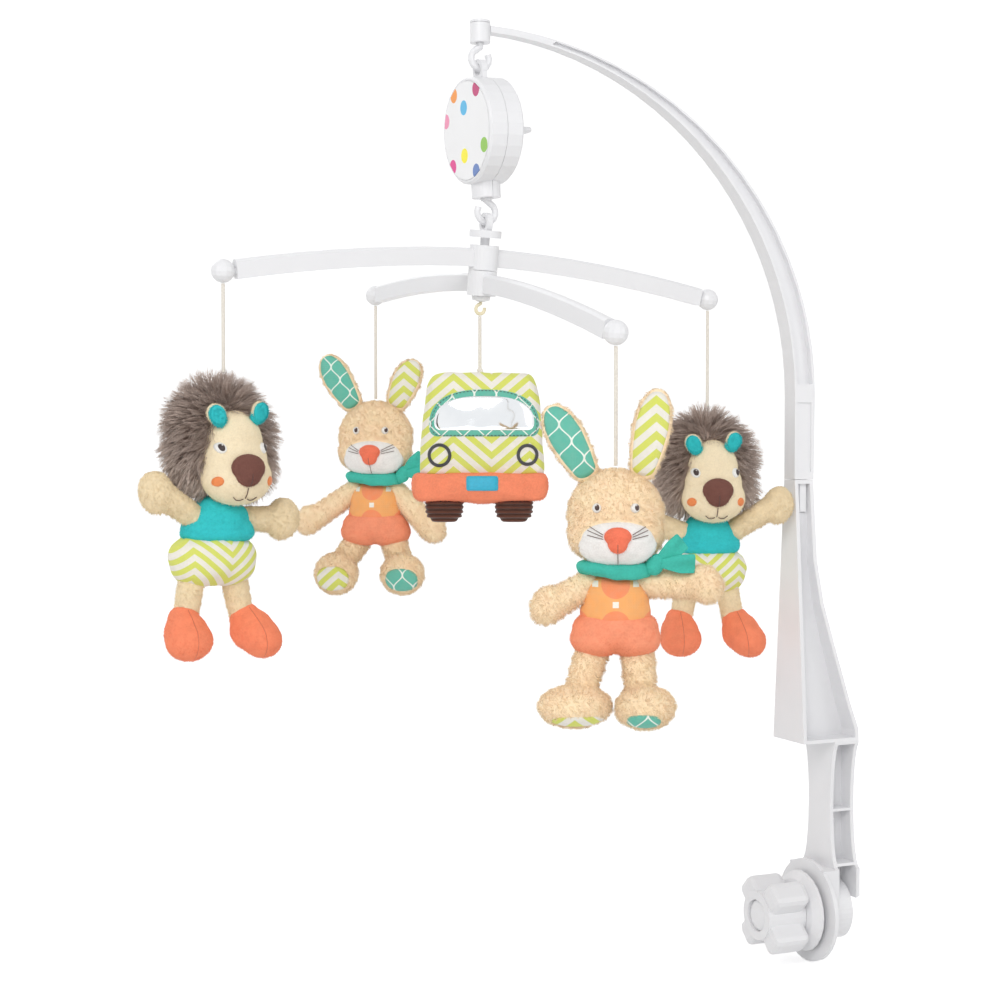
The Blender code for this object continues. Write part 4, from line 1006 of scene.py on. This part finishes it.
            toy.wear(cheek, cloths["cheeks"])
            ear_at = (side * 0.0150 + 0.001, -0.0225, -0.0262 + side * 0.0010)
            ear = fused(word + "_ear", [
                ball(ear_at, (0.0056, 0.0034, 0.0066), (0, side * 28, side * 22)),
                ball((ear_at[0] - side * 0.002, ear_at[1] + 0.002, ear_at[2] - 0.003),
                     (0.0050, 0.0032, 0.0050)),
            ], voxel=0.7 * MM)
            points = get_points(ear.data)
            away = np.hypot(points[:, 0] - ear_at[0], points[:, 2] - ear_at[2]) / 0.0078
            points[:, 1] += np.clip(1 - away ** 2, 0, 1) * 0.0022 * (points[:, 1] < ear_at[1])
            set_points(ear.data, points)
            hair(ear, 1300, 1.0 * MM, 0.22 * MM, down, seed + 14, lie=0.4, joints=2)
            toy.wear(ear, cloths["shirt"], slot="turquoise_plush", fill=0.5)
            back = fused(word + "_ear_back", [
                ball((ear_at[0] - side * 0.0004, ear_at[1] + 0.0032, ear_at[2] + 0.0004),
                     (0.0062, 0.0030, 0.0072),
                     (0, side * 28, side * 22)),
            ], voxel=0.7 * MM)
            hair(back, 900, 1.0 * MM, 0.22 * MM, down, seed + 15, lie=0.4, joints=2)
            toy.wear(back, cloths["ear_back"], slot="cream_plush", fill=0.5)

    def shoes(self, toy, cloths, lean, seed):
        """Two stuffed shoes, each with its seam."""
        for side, word in ((-1, "left"), (1, "right")):
            x = lean + side * 0.021
            tip, out = (4, 0.0) if side < 0 else (-38, 0.0065)
            shoe = fused(word + "_shoe", [
                ball((x, -0.002, -0.1560), (0.0100, 0.0105, 0.0090)),
                ball((x + out * 0.5, -0.006, -0.1650), (0.0140, 0.0150, 0.0140), (0, tip, 0)),
                ball((x + out, -0.011, -0.1695), (0.0152, 0.0150, 0.0128), (0, -tip, 0)),
            ], smooth=14)
            ruffle(shoe, 0.35 * MM, 0.009, seed + side)
            skin = Skin(shoe)
            line = [skin.line([(x, -0.1500), (x + out * 0.6, -0.1650), (x + out, -0.1815)], 0.05 * MM)]
            hair(shoe, 2600, 0.8 * MM, 0.22 * MM, down, seed + 16 + side, lie=0.7, joints=2)
            toy.wear(shoe, cloths["shoes"], nodes=[toy.name + "_body"], slot="coral_plush", fill=0.9)
            toy.wear(threads(word + "_shoe_seam", line, 0.25 * MM), cloths["shoe_seam"])


class MOBILE_OT_rabbits(bpy.types.Operator):
    """Sew the two rabbits: curly fur, patterned ears, teal scarves and printed bodies"""

    bl_idname = "crib_mobile.rabbits"
    bl_label = "Rabbits"

    def execute(self, context):
        look, sizes = context.scene.mobile_rabbit, context.scene.mobile_soft
        lion = context.scene.mobile_lion

        def chevron(tree, place):
            return [(lion.lime, stripes(tree, place, sizes.chevron_width, sizes.chevron_stripe,
                                        sizes.chevron_width / 2))]

        cloths = {
            "fur": curly_plush("curly_cream_plush", look.fur),
            "muzzle": velour("white_velour", look.muzzle, 1.0 * MM, 0.2 * MM, 0.3),
            "nose": velour("coral_nose_velour", look.nose, 0.8 * MM, 0.15 * MM),
            "scarf": velour("teal_velour", look.scarf, 1.2 * MM, 0.3 * MM),
            "shorts": velour("coral_shorts_velour", look.shorts, 1.3 * MM, 0.35 * MM),
            "body": printed_cotton("spotted_cotton", look.print_ground, lambda tree, place: list(
                zip((look.print_circle, linear("F6F0E4")),
                    spots(tree, place, 0.0243, 0.0086, 0.0018, 0.0211)))),
            "lattice": printed_cotton(
                "lattice_cotton", look.lattice,
                lambda tree, place: [(linear("EAF2E8"), lattice(tree, place, 0.0150, 0.0200, 0.0006))],
            ),
            "chevron": printed_cotton("ear_chevron_cotton", lion.pale, chevron),
            "white": satin_thread("white_eye_thread", linear("F4F2EE"), sizes.satin),
            "dark": satin_thread("dark_eye_thread", linear("4A3530"), sizes.satin),
            "line": satin_thread("grey_brown_thread", linear("6B554C"), sizes.satin),
        }
        front = {
            "hands": ((-0.0410, -0.0830), (0.0540, -0.0700)), "ears": ((-0.040, 0.036), (0.026, 0.046)),
            "feet": (((-0.0240, -0.012, -0.1425), (0.0225, 0.0185, 0.0122), 24),
                     ((0.0175, -0.012, -0.1430), (0.0175, 0.0190, 0.0125), -12)),
            "soles": ((-0.0215, -0.1500, 0.0330, 0.0070), (0.0165, -0.1495, 0.0200, 0.0090)),
            "seated": False,
        }
        back = {
            "hands": ((-0.0530, -0.0940), (0.0465, -0.0995)), "ears": ((-0.040, 0.034), (0.032, 0.030)),
            "feet": (((-0.0285, -0.014, -0.1350), (0.0165, 0.0125, 0.0160), 14),
                     ((0.0235, -0.014, -0.1350), (0.0175, 0.0125, 0.0155), -18)),
            "soles": ((-0.0295, -0.1385, 0.0250, 0.0190), (0.0245, -0.1390, 0.0255, 0.0175)),
            "seated": True,
        }
        self.sew(Toy("front", "front_rabbit", -27), cloths, sizes, front, 21)
        self.sew(Toy("back", "back_rabbit", -32), cloths, sizes, back, 22)
        return {"FINISHED"}

    def curls(self, root, normal):
        """Curls that lie a little downwards and sideways."""
        side = np.sin(root[:, 0] * 900 + root[:, 2] * 700)[:, None] * np.array((1.0, 0.0, 0.3))
        return side + np.array((0.0, -0.1, -0.5))

    def fluff(self, obj, count, sizes, seed, skip=None):
        """Covers a piece in curled hairs."""
        ruffle(obj, 0.25 * MM, 0.0050, seed)
        hair(obj, count * 5 // 2, sizes.curl, 0.3 * MM, self.curls, seed, curl=0.2 * MM, turns=1.1,
             clump=0.1,
             tufts=max(60, count // 2), lie=0.35, joints=2, skip=skip)

    def sew(self, toy, cloths, sizes, form, seed):
        """One rabbit."""
        name = toy.name
        self.head(toy, cloths, sizes, form, seed)
        body = fused("body", [
            ball((0.0, 0.0, -0.0790), (0.0205, 0.0165, 0.0180)),
            ball((0.0, 0.0, -0.0880), (0.0215, 0.0175, 0.0160)),
        ])
        toy.wear(ruffle(body, 0.4 * MM, 0.010, seed), cloths["body"], nodes=[name + "_body"],
                 slot="coral_plush",
                 fill=0.8)
        limbs = []
        for side, (x, z) in zip((-1, 1), form["hands"]):
            limbs += limb((side * 0.0150, 0.0, -0.0700), (x - side * 0.003, -0.005, z), 0.0082, 0.0090)
            limbs.append(ball((x - side * 0.001, -0.006, z), (0.0102, 0.0095, 0.0122), (0, -side * 35, 0)))
        arms = fused("arms", limbs)
        self.fluff(arms, 3700, sizes, seed + 1)
        toy.wear(arms, cloths["fur"], nodes=[name + "_body"], slot="curly_plush", fill=0.8)
        shorts = fused("shorts", [
            ball((0.0, 0.0, -0.0975), (0.0262, 0.0190, 0.0150)),
            ball((-0.0110, 0.0, -0.1030), (0.0165, 0.0175, 0.0120)),
            ball((0.0110, 0.0, -0.1030), (0.0165, 0.0175, 0.0120)),
        ], smooth=12)
        points = get_points(shorts.data)
        dip = np.clip((points[:, 2] + 0.092) / 0.008, 0, 1)
        points[:, 0] *= 1 - 0.08 * dip
        set_points(shorts.data, points)
        ruffle(shorts, 0.45 * MM, 0.012, seed + 2.0)
        hair(shorts, 4200, 0.9 * MM, 0.22 * MM, self.curls, seed + 15, lie=0.6, joints=2)
        toy.wear(shorts, cloths["shorts"], nodes=[name + "_body"], slot="coral_plush", fill=0.8)
        for word, side, (place, radii, yaw), sole in zip(
            ("left", "right"), (-1, 1), form["feet"], form["soles"]
        ):
            hip = (side * 0.0130, 0.0, -0.1080)
            ankle = (place[0] * 0.85, -0.004, place[2] + 0.010)
            solids = limb(hip, ankle, 0.0098, 0.0092)
            solids.append(ball(place, radii, (0, 0, yaw)))
            leg = fused(word + "_leg", solids)
            skin = Skin(leg)
            u, v, wide, high = sole
            pad = skin.patch(word + "_sole", oval(wide, high, u, v, power=2.4), 0.7 * MM, 6.0)
            fluff_skip = (lambda root, normal, u=u, v=v, wide=wide, high=high: (
                ((root[:, 0] - u) / wide * 2) ** 2 + ((root[:, 2] - v) / high * 2) ** 2 < 0.95) & (
                    normal[:, 1] < -0.1))
            self.fluff(leg, 3600, sizes, seed + 3 + side, fluff_skip)
            toy.wear(leg, cloths["fur"], nodes=[name + "_body"], slot="curly_plush", fill=0.8)
            toy.wear(pad, cloths["chevron" if side < 0 else "lattice"], slot="chevron_cotton")

    def head(self, toy, cloths, sizes, form, seed):
        """The head with its muzzle, stitched features, ears and scarf."""
        name = toy.name
        head = fused("head", [
            ball((0.0, 0.0, -0.0290), (0.0285, 0.0215, 0.0275)),
            ball((0.0, -0.003, -0.0405), (0.0285, 0.0205, 0.0190)),
        ], smooth=10, divide=0)
        skin = Skin(head)

        def muzzle_side(root, normal):
            flat = ((root[:, 0] - 0.0008) / 0.0225) ** 2 + ((root[:, 2] + 0.0440) / 0.0130) ** 2
            return (root[:, 1] < -0.005) & (flat < 0.96)

        self.fluff(head, 5600, sizes, seed + 6, muzzle_side)
        toy.wear(head, cloths["fur"], nodes=[name + "_head"], slot="curly_plush", fill=0.9)
        muzzle = fused("muzzle", [
            ball((0.0008, -0.0110, -0.0460), (0.0238, 0.0145, 0.0140)),
            ball((0.0008, -0.0155, -0.0455), (0.0160, 0.0130, 0.0125)),
            ball((0.0008, -0.0145, -0.0420), (0.0215, 0.0145, 0.0110)),
        ], smooth=12)
        front = Skin(muzzle)
        hair(muzzle, 3800, 0.8 * MM, 0.2 * MM, down, seed + 8, lie=0.7, joints=2)
        toy.wear(muzzle, cloths["muzzle"], slot="cream_plush", fill=0.8)
        nose = fused("nose", [
            ball((0.0010, -0.0280, -0.0410), (0.0082, 0.0056, 0.0056)),
            ball((0.0010, -0.0280, -0.0450), (0.0060, 0.0052, 0.0060)),
        ], voxel=0.6 * MM, smooth=12)
        tip = Skin(nose)
        seam = tip.line([(0.001, -0.0455), (0.001, -0.0505)], -0.1 * MM)
        hair(nose, 900, 0.6 * MM, 0.18 * MM, self.curls, seed + 14, lie=0.6, joints=2)
        toy.wear(nose, cloths["nose"], slot="coral_plush", fill=0.9)
        lines = [seam, front.line([(0.001, -0.0505), (0.0012, -0.0570)], 0.5 * MM)]
        for side in (-1, 1):
            for k in range(3):
                start = (0.001 + side * 0.0085, -0.0400 - 0.0012 * k)
                end = (0.001 + side * 0.0175, -0.0350 - 0.0027 * k)
                lines.append(front.line([start, end], 0.5 * MM))
        toy.wear(threads("stitches", lines, 0.22 * MM), cloths["line"])
        for side, word in ((-1, "left"), (1, "right")):
            x = side * 0.0112
            eye = skin.patch(word + "_eye", oval(0.0054, 0.0058, x, -0.0245), 2.0 * MM)
            toy.wear(eye, cloths["white"])
            pupil = skin.patch(word + "_pupil", oval(0.0034, 0.0044, x + 0.0005, -0.0244), 2.5 * MM)
            toy.wear(pupil, cloths["dark"])
            glint = skin.patch(word + "_glint", oval(0.0011, 0.0011, x + 0.0002, -0.0233, 20), 2.85 * MM,
                               rings=3)
            toy.wear(glint, cloths["white"])
            self.ear(toy, cloths, sizes, word, side, form["ears"][side > 0], seed)
        self.scarf(toy, cloths, seed)

    def ear(self, toy, cloths, sizes, word, side, tip, seed):
        """A long flat ear: patterned cotton in front, curly plush behind and round its edge."""
        root = Vector((side * 0.0150, -0.002, -0.008))
        line = Vector((tip[0], -0.002, tip[1])) - root
        long = line.length
        half = [(0.0, 0.0), (0.0070, 0.002), (0.0098, 0.016), (0.0112, 0.030), (0.0098, 0.042),
                (0.0050, 0.050)]
        shape = [(x, z * long / 0.0515) for x, z in half] + [(0.0, long)]
        shape += [(-x, z * long / 0.0515) for x, z in half[:0:-1]]
        ear = pillow(word + "_ear", round_outline(shape, 80), 0.0030, 0.0016, 0.0004, pinch=0.2 * MM)
        curl = get_points(ear.data)
        curl[:, 1] += 9.0 * curl[:, 0] ** 2 - 0.0035 * np.sin(math.pi * curl[:, 2] / long)
        set_points(ear.data, curl)
        turn = Matrix.Rotation(math.atan2(line.x, line.z), 4, "Y")
        panel = Skin(ear)
        inner = [(x * 0.88, 0.002 + z * 0.945) for x, z in shape]
        lining = panel.patch(word + "_ear_lining", round_outline(inner, 72), 0.9 * MM, 8.0, rings=9)

        def in_lining(root_points, normal):
            wide = 0.0098 * np.sqrt(np.clip(1 - ((root_points[:, 2] - 0.5 * long) / (0.50 * long)) ** 2, 0,
                                            1))
            return (np.abs(root_points[:, 0]) < wide) & (normal[:, 1] < 0)

        hair(ear, 5200, sizes.curl * 0.8, 0.3 * MM, self.curls, seed + 9 + side, curl=0.25 * MM,
             clump=0.25, tufts=400,
             lie=0.6, joints=3, skip=in_lining)
        for piece in (ear, lining):
            piece.data.transform(Matrix.Translation(root) @ turn)
        toy.wear(ear, cloths["fur"], nodes=[f"{toy.name}_{word}_ear"], slot="curly_plush", fill=0.3)
        toy.wear(lining, cloths["lattice" if side < 0 else "chevron"], slot="chevron_cotton")

    def scarf(self, toy, cloths, seed):
        """A wound scarf with folds, its knot at one side and two short ends."""
        rows = []
        for i in range(96):
            angle = math.tau * i / 96
            row = []
            for k in range(20):
                around = math.tau * k / 20
                wide_fold = 0.10 * math.sin(3 * around + 2.0 * math.sin(2 * angle))
                fold = 1 + wide_fold + 0.05 * math.sin(9 * angle + 2 * around)
                out = 0.0190 + 0.0046 * fold * math.cos(around)
                up = 0.0046 * fold * math.sin(around) + 0.0012 * math.sin(2 * angle + 0.6)
                row.append((out * math.cos(angle), out * 0.88 * math.sin(angle), -0.0612 + up))
            rows.append(row)
        rows.append(rows[0])
        band = from_grid("scarf", rows)
        bm = bmesh.new()
        bm.from_mesh(band.data)
        bmesh.ops.remove_doubles(bm, verts=bm.verts, dist=1e-6)
        bm.to_mesh(band.data)
        bm.free()
        toy.wear(band, cloths["scarf"], nodes=[toy.name + "_scarf"], slot="teal_plush", fill=0.4)
        knot = fused("scarf_knot", [
            ball((0.0230, -0.0100, -0.0590), (0.0055, 0.0050, 0.0060), (0, 20, 0)),
            ball((0.0250, -0.0110, -0.0560), (0.0045, 0.0045, 0.0045)),
        ], voxel=0.7 * MM)
        toy.wear(ruffle(knot, 0.4 * MM, 0.004, seed), cloths["scarf"], slot="teal_plush", fill=0.4)
        for word, place, turn, long in (
            ("upper", (0.0245, -0.0110, -0.0560), 50, 0.0190),
            ("lower", (0.0250, -0.0120, -0.0575), 88, 0.0215)
        ):
            shape = [(-0.0020, 0.0), (0.0020, 0.0), (0.0058, long * 0.6), (0.0062, long),
                     (-0.0050, long * 1.02),
                     (-0.0048, long * 0.6)]
            end = pillow("scarf_end_" + word, round_outline(shape, 64, 2), 0.0020, 0.0008, 0.0002,
                         pinch=0.1 * MM)
            points = get_points(end.data)
            points[:, 1] += 0.0018 * np.sin(points[:, 0] * 520) * np.clip(points[:, 2] / long, 0, 1)
            points[:, 1] -= 0.0030 * np.sin(math.pi * points[:, 2] / long)
            set_points(end.data, points)
            end.data.transform(Matrix.Translation(place) @ Matrix.Rotation(math.radians(turn), 4, "Y"))
            toy.wear(end, cloths["scarf"], slot="teal_plush", fill=0.2)


class MOBILE_OT_van(bpy.types.Operator):
    """Sew the van: a padded chevron front, mirror windscreen, lamps, bumper, tag and wheels"""

    bl_idname = "crib_mobile.van"
    bl_label = "Van"

    def execute(self, context):
        look, sizes = context.scene.mobile_van, context.scene.mobile_soft
        lion, rabbit = context.scene.mobile_lion, context.scene.mobile_rabbit
        toy = Toy("van", "van_toy", -23.4)
        cotton = printed_cotton("van_chevron_cotton", lion.pale, lambda tree, place: [
            (lion.lime, stripes(tree, place, 0.052, sizes.chevron_stripe, 0.018))])
        binding = printed_cotton("binding_cotton", rabbit.lattice, lambda tree, place: [
            (linear("EAF2E8"), lattice(tree, place, 0.0150, 0.0200, 0.0006))])
        yellow = velour("yellow_velour", look.sides, 1.2 * MM, 0.3 * MM)
        coral = velour("bumper_velour", look.bumper, 1.2 * MM, 0.3 * MM)
        ribs = corduroy("brown_corduroy", look.wheels)
        grey = satin_thread("grey_satin_thread", look.rings, sizes.satin)
        tape = satin_thread("woven_tape", look.tag, 0.0009, (0.0, 0.0, 1.0))
        film = mirror_film("mirror_film")

        shape = [(-0.0300, -0.0030), (0.0330, -0.0030), (0.0365, -0.0100), (0.0410, -0.0600),
                 (0.0415, -0.0690),
                 (-0.0385, -0.0690), (-0.0380, -0.0600), (-0.0335, -0.0100)]
        body = pillow("body", round_outline(shape, 160, 7), 0.0190, 0.0062, 0.0034, rings=16, around=10)
        ruffle(body, 0.9 * MM, 0.014, 3.0)
        skin = Skin(body)
        toy.wear(body, cotton, yellow, cotton, nodes=["van_body"], slot="chevron_cotton", fill=0.7)

        low = [(-0.0440, -0.0690), (0.0440, -0.0690), (0.0452, -0.0790), (0.0425, -0.0872),
               (-0.0425, -0.0872),
               (-0.0452, -0.0790)]
        bumper = pillow("bumper", round_outline(low, 112, 5), 0.0240, 0.0045, 0.0020, rings=10, around=8)
        ruffle(bumper, 0.8 * MM, 0.014, 5.0)
        front = Skin(bumper)
        hair(bumper, 4200, 0.8 * MM, 0.22 * MM, down, 31, lie=0.7, joints=2)
        toy.wear(bumper, coral, nodes=["van_body"], slot="coral_plush", fill=0.7)

        frame_shape = self.screen(0.0754, 0.0319, -0.0275)
        glass_shape = self.screen(0.0684, 0.0234, -0.0276)
        surround = skin.patch("mirror_binding", frame_shape, 1.5 * MM, 9.0, rings=14)
        toy.wear(surround, binding, nodes=["van_mirror"], slot="teal_plush")
        seat = Skin(surround)
        glass = seat.patch("mirror", glass_shape, 0.7 * MM, 10.0, rings=12, bury=0.4 * MM)
        toy.wear(glass, film, nodes=["van_mirror"], slot="mirror_film")
        stitches = []
        loop = np.vstack([frame_shape, frame_shape[:1]])
        run = np.concatenate([[0], np.cumsum(np.linalg.norm(np.diff(loop, axis=0), axis=1))])
        count = int(run[-1] / 0.0026)
        middle = frame_shape.mean(axis=0)
        for i in range(count):
            ends = []
            for t in (i, i + 0.55):
                at = run[-1] * t / count
                point = np.array([np.interp(at, run, loop[:, j]) for j in range(2)])
                ends.append(middle + (point - middle) * 0.955)
            stitches.append(seat.line(ends, 0.15 * MM, count=3))
        toy.wear(threads("binding_stitches", stitches, 0.25 * MM), grey)

        for word, x, z, size in (("left", -0.0275, -0.0563, 0.0140), ("right", 0.0325, -0.0560, 0.0128)):
            ring = []
            for i in range(72):
                angle = math.tau * i / 72
                ends = []
                for out, along in ((-0.0010, -0.03), (0.0, 0.0), (0.0010, 0.03)):
                    r = size / 2 + out
                    ends.append((x + r * math.cos(angle + along), z + r * math.sin(angle + along)))
                ring.append([skin.at(*end, lift * MM) for end, lift in zip(ends, (0.1, 0.55, 0.1))])
            toy.wear(threads(word + "_lamp", ring, 0.36 * MM), grey)

        outline = round_outline([(-0.0093, -0.0705), (0.0125, -0.0705), (0.0125, -0.0805),
                                 (-0.0093, -0.0805)], 48, 1)
        toy.wear(front.patch("tag", outline, 1.3 * MM, 12.0), tape, slot="teal_plush")

        for word, x in (("left", -0.0245), ("right", 0.0235)):
            shape = oval(0.0222, 0.0200, x, -0.0905, 64, 3.2)
            wheel = pillow(word + "_wheel", shape, 0.0150, 0.0030, 0.0015, rings=7, around=8)
            points = get_points(wheel.data)
            points += get_normals(wheel.data) * (0.0006 * np.sin(points[:, 2] * math.tau / 0.0031))[:, None]
            set_points(wheel.data, points)
            toy.wear(wheel, ribs, nodes=[f"van_{word}_wheel"], slot="brown_corduroy", fill=0.9)

        knot = fused("string_knot", [
            ball((0.0, 0.0, 0.0022), (0.0022, 0.0022, 0.0017)),
            ball((0.0008, -0.0006, 0.0008), (0.0018, 0.0018, 0.0014)),
        ], voxel=0.4 * MM)
        toy.wear(knot, bpy.data.materials["twisted_cotton"], slot="cotton_cord")
        return {"FINISHED"}

    def screen(self, width, height, middle):
        """The windscreen's outline: flat below with round corners, and a half oval above."""
        shape = []
        for i in range(49):
            angle = math.pi * i / 48
            flat = abs(math.cos(angle)) ** 0.8 * math.copysign(1, math.cos(angle))
            shape.append((0.003 + width / 2 * flat,
                          middle + height * (0.80 * math.sin(angle) ** 0.8 - 0.30)))
        shape += [(0.003 + width / 2 * x, middle + height * z) for x, z in (
            (-0.98, -0.42), (-0.90, -0.5), (0.90, -0.5), (0.98, -0.42))]
        return round_outline(shape, 112, 1)


class MOBILE_OT_stage(bpy.types.Operator):
    """Set out the pale floor and backdrop, the soft lamps and the camera"""

    bl_idname = "crib_mobile.stage"
    bl_label = "Stage"

    def execute(self, context):
        scene = context.scene
        low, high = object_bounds()
        floor_z = low[2] - 0.0005
        rows = []
        for i in range(40):
            t = i / 39
            y = -3.0 + 7.5 * t
            rise = max(0.0, y - 2.6)
            rows.append([(x, y, floor_z + 0.9 * rise ** 2) for x in np.linspace(-5.0, 5.0, 24)])
        floor = from_grid("floor", rows, closed=False)
        material, tree, shader, place = begin("white_paper", Roughness=0.9)
        tint = vary(tree, place, linear("F6F6F6"), linear("F3F3F3"), 0.4, 0.5)
        tree.links.new(tint, shader.inputs["Base Color"])
        path = add(tree, "ShaderNodeLightPath")
        seen = add(tree, "ShaderNodeMath", {
            0: path.outputs["Is Camera Ray"], 1: path.outputs["Is Glossy Ray"]}, operation="MAXIMUM")
        seen = add(tree, "ShaderNodeMath", {
            0: seen.outputs[0], 1: path.outputs["Is Transmission Ray"]}, operation="MAXIMUM")
        glow = add(tree, "ShaderNodeMath", {0: seen.outputs[0], 1: 0.5}, operation="MULTIPLY")
        tree.links.new(glow.outputs[0], shader.inputs["Emission Strength"])
        shader.inputs["Emission Color"].default_value = (1, 1, 1, 1)
        paint(floor, material)
        floor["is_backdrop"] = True

        world = bpy.data.worlds.new("studio")
        scene.world = world
        world.use_nodes = True
        nodes = world.node_tree
        nodes.nodes.clear()
        rays = add(nodes, "ShaderNodeLightPath")
        seen = add(nodes, "ShaderNodeMath", {
            0: rays.outputs["Is Camera Ray"], 1: rays.outputs["Is Glossy Ray"]}, operation="MAXIMUM")
        seen = add(nodes, "ShaderNodeMath", {
            0: seen.outputs[0], 1: rays.outputs["Is Transmission Ray"]}, operation="MAXIMUM")
        level = add(nodes, "ShaderNodeMapRange", {0: seen.outputs[0], 3: 0.58, 4: 1.0})
        sky = add(nodes, "ShaderNodeBackground", {"Color": (1, 1, 1, 1), "Strength": level.outputs[0]})
        add(nodes, "ShaderNodeOutputWorld", {"Surface": sky.outputs[0]})

        aim = Vector((-0.24, 0.0, 0.28))
        for name, place, size, power in (
            ("key_lamp", (-1.7, -1.9, 1.7), 1.6, 31.0), ("fill_lamp", (1.3, -1.8, 0.9), 1.6, 7.0),
            ("rim_lamp", (-0.9, 1.7, 1.6), 1.2, 8.0),
        ):
            lamp = bpy.data.lights.new(name, "AREA")
            lamp.shape, lamp.size, lamp.energy = "DISK", size, power
            obj = link(name, lamp)
            obj.location = place
            obj.rotation_euler = (aim - Vector(place)).to_track_quat("-Z", "Y").to_euler()

        camera = link("camera", bpy.data.cameras.new("camera"))
        camera.data.lens = 65
        camera.data.sensor_width = 36
        camera.location = (-0.756, -1.134, 0.324)
        camera.rotation_euler = (math.radians(90 - 1.587), 0, math.radians(-24))
        scene.camera = camera
        scene.view_settings.view_transform = "Standard"
        return {"FINISHED"}


class MOBILE_PT_panel(bpy.types.Panel):
    """The mobile's pieces, sizes and colours"""

    bl_label = "Crib mobile"
    bl_idname = "MOBILE_PT_panel"
    bl_space_type = "VIEW_3D"
    bl_region_type = "UI"
    bl_category = "Crib mobile"

    def draw(self, context):
        layout = self.layout
        for operator in OPERATORS:
            layout.operator(operator.bl_idname)
        for name in GROUPS:
            group = getattr(context.scene, name)
            box = layout.box()
            for key in group.__annotations__:
                box.prop(group, key)


OPERATORS = (
    MOBILE_OT_hard_parts, MOBILE_OT_strings, MOBILE_OT_lions, MOBILE_OT_rabbits, MOBILE_OT_van,
    MOBILE_OT_stage,
)
GROUPS = {
    "mobile_hard": HardColours, "mobile_lion": LionColours, "mobile_rabbit": RabbitColours,
    "mobile_van": VanColours, "mobile_soft": SoftSizes,
}


def register():
    for cls in (*GROUPS.values(), *OPERATORS, MOBILE_PT_panel):
        bpy.utils.register_class(cls)
    for name, group in GROUPS.items():
        setattr(bpy.types.Scene, name, bpy.props.PointerProperty(type=group))


def unregister():
    for name in GROUPS:
        delattr(bpy.types.Scene, name)
    for cls in reversed((*GROUPS.values(), *OPERATORS, MOBILE_PT_panel)):
        bpy.utils.unregister_class(cls)


def main():
    register()
    bpy.ops.crib_mobile.hard_parts()
    bpy.ops.crib_mobile.strings()
    bpy.ops.crib_mobile.lions()
    bpy.ops.crib_mobile.rabbits()
    bpy.ops.crib_mobile.van()
    bpy.ops.crib_mobile.stage()
    bpy.context.view_layer.update()


if __name__ == "__main__":
    main()
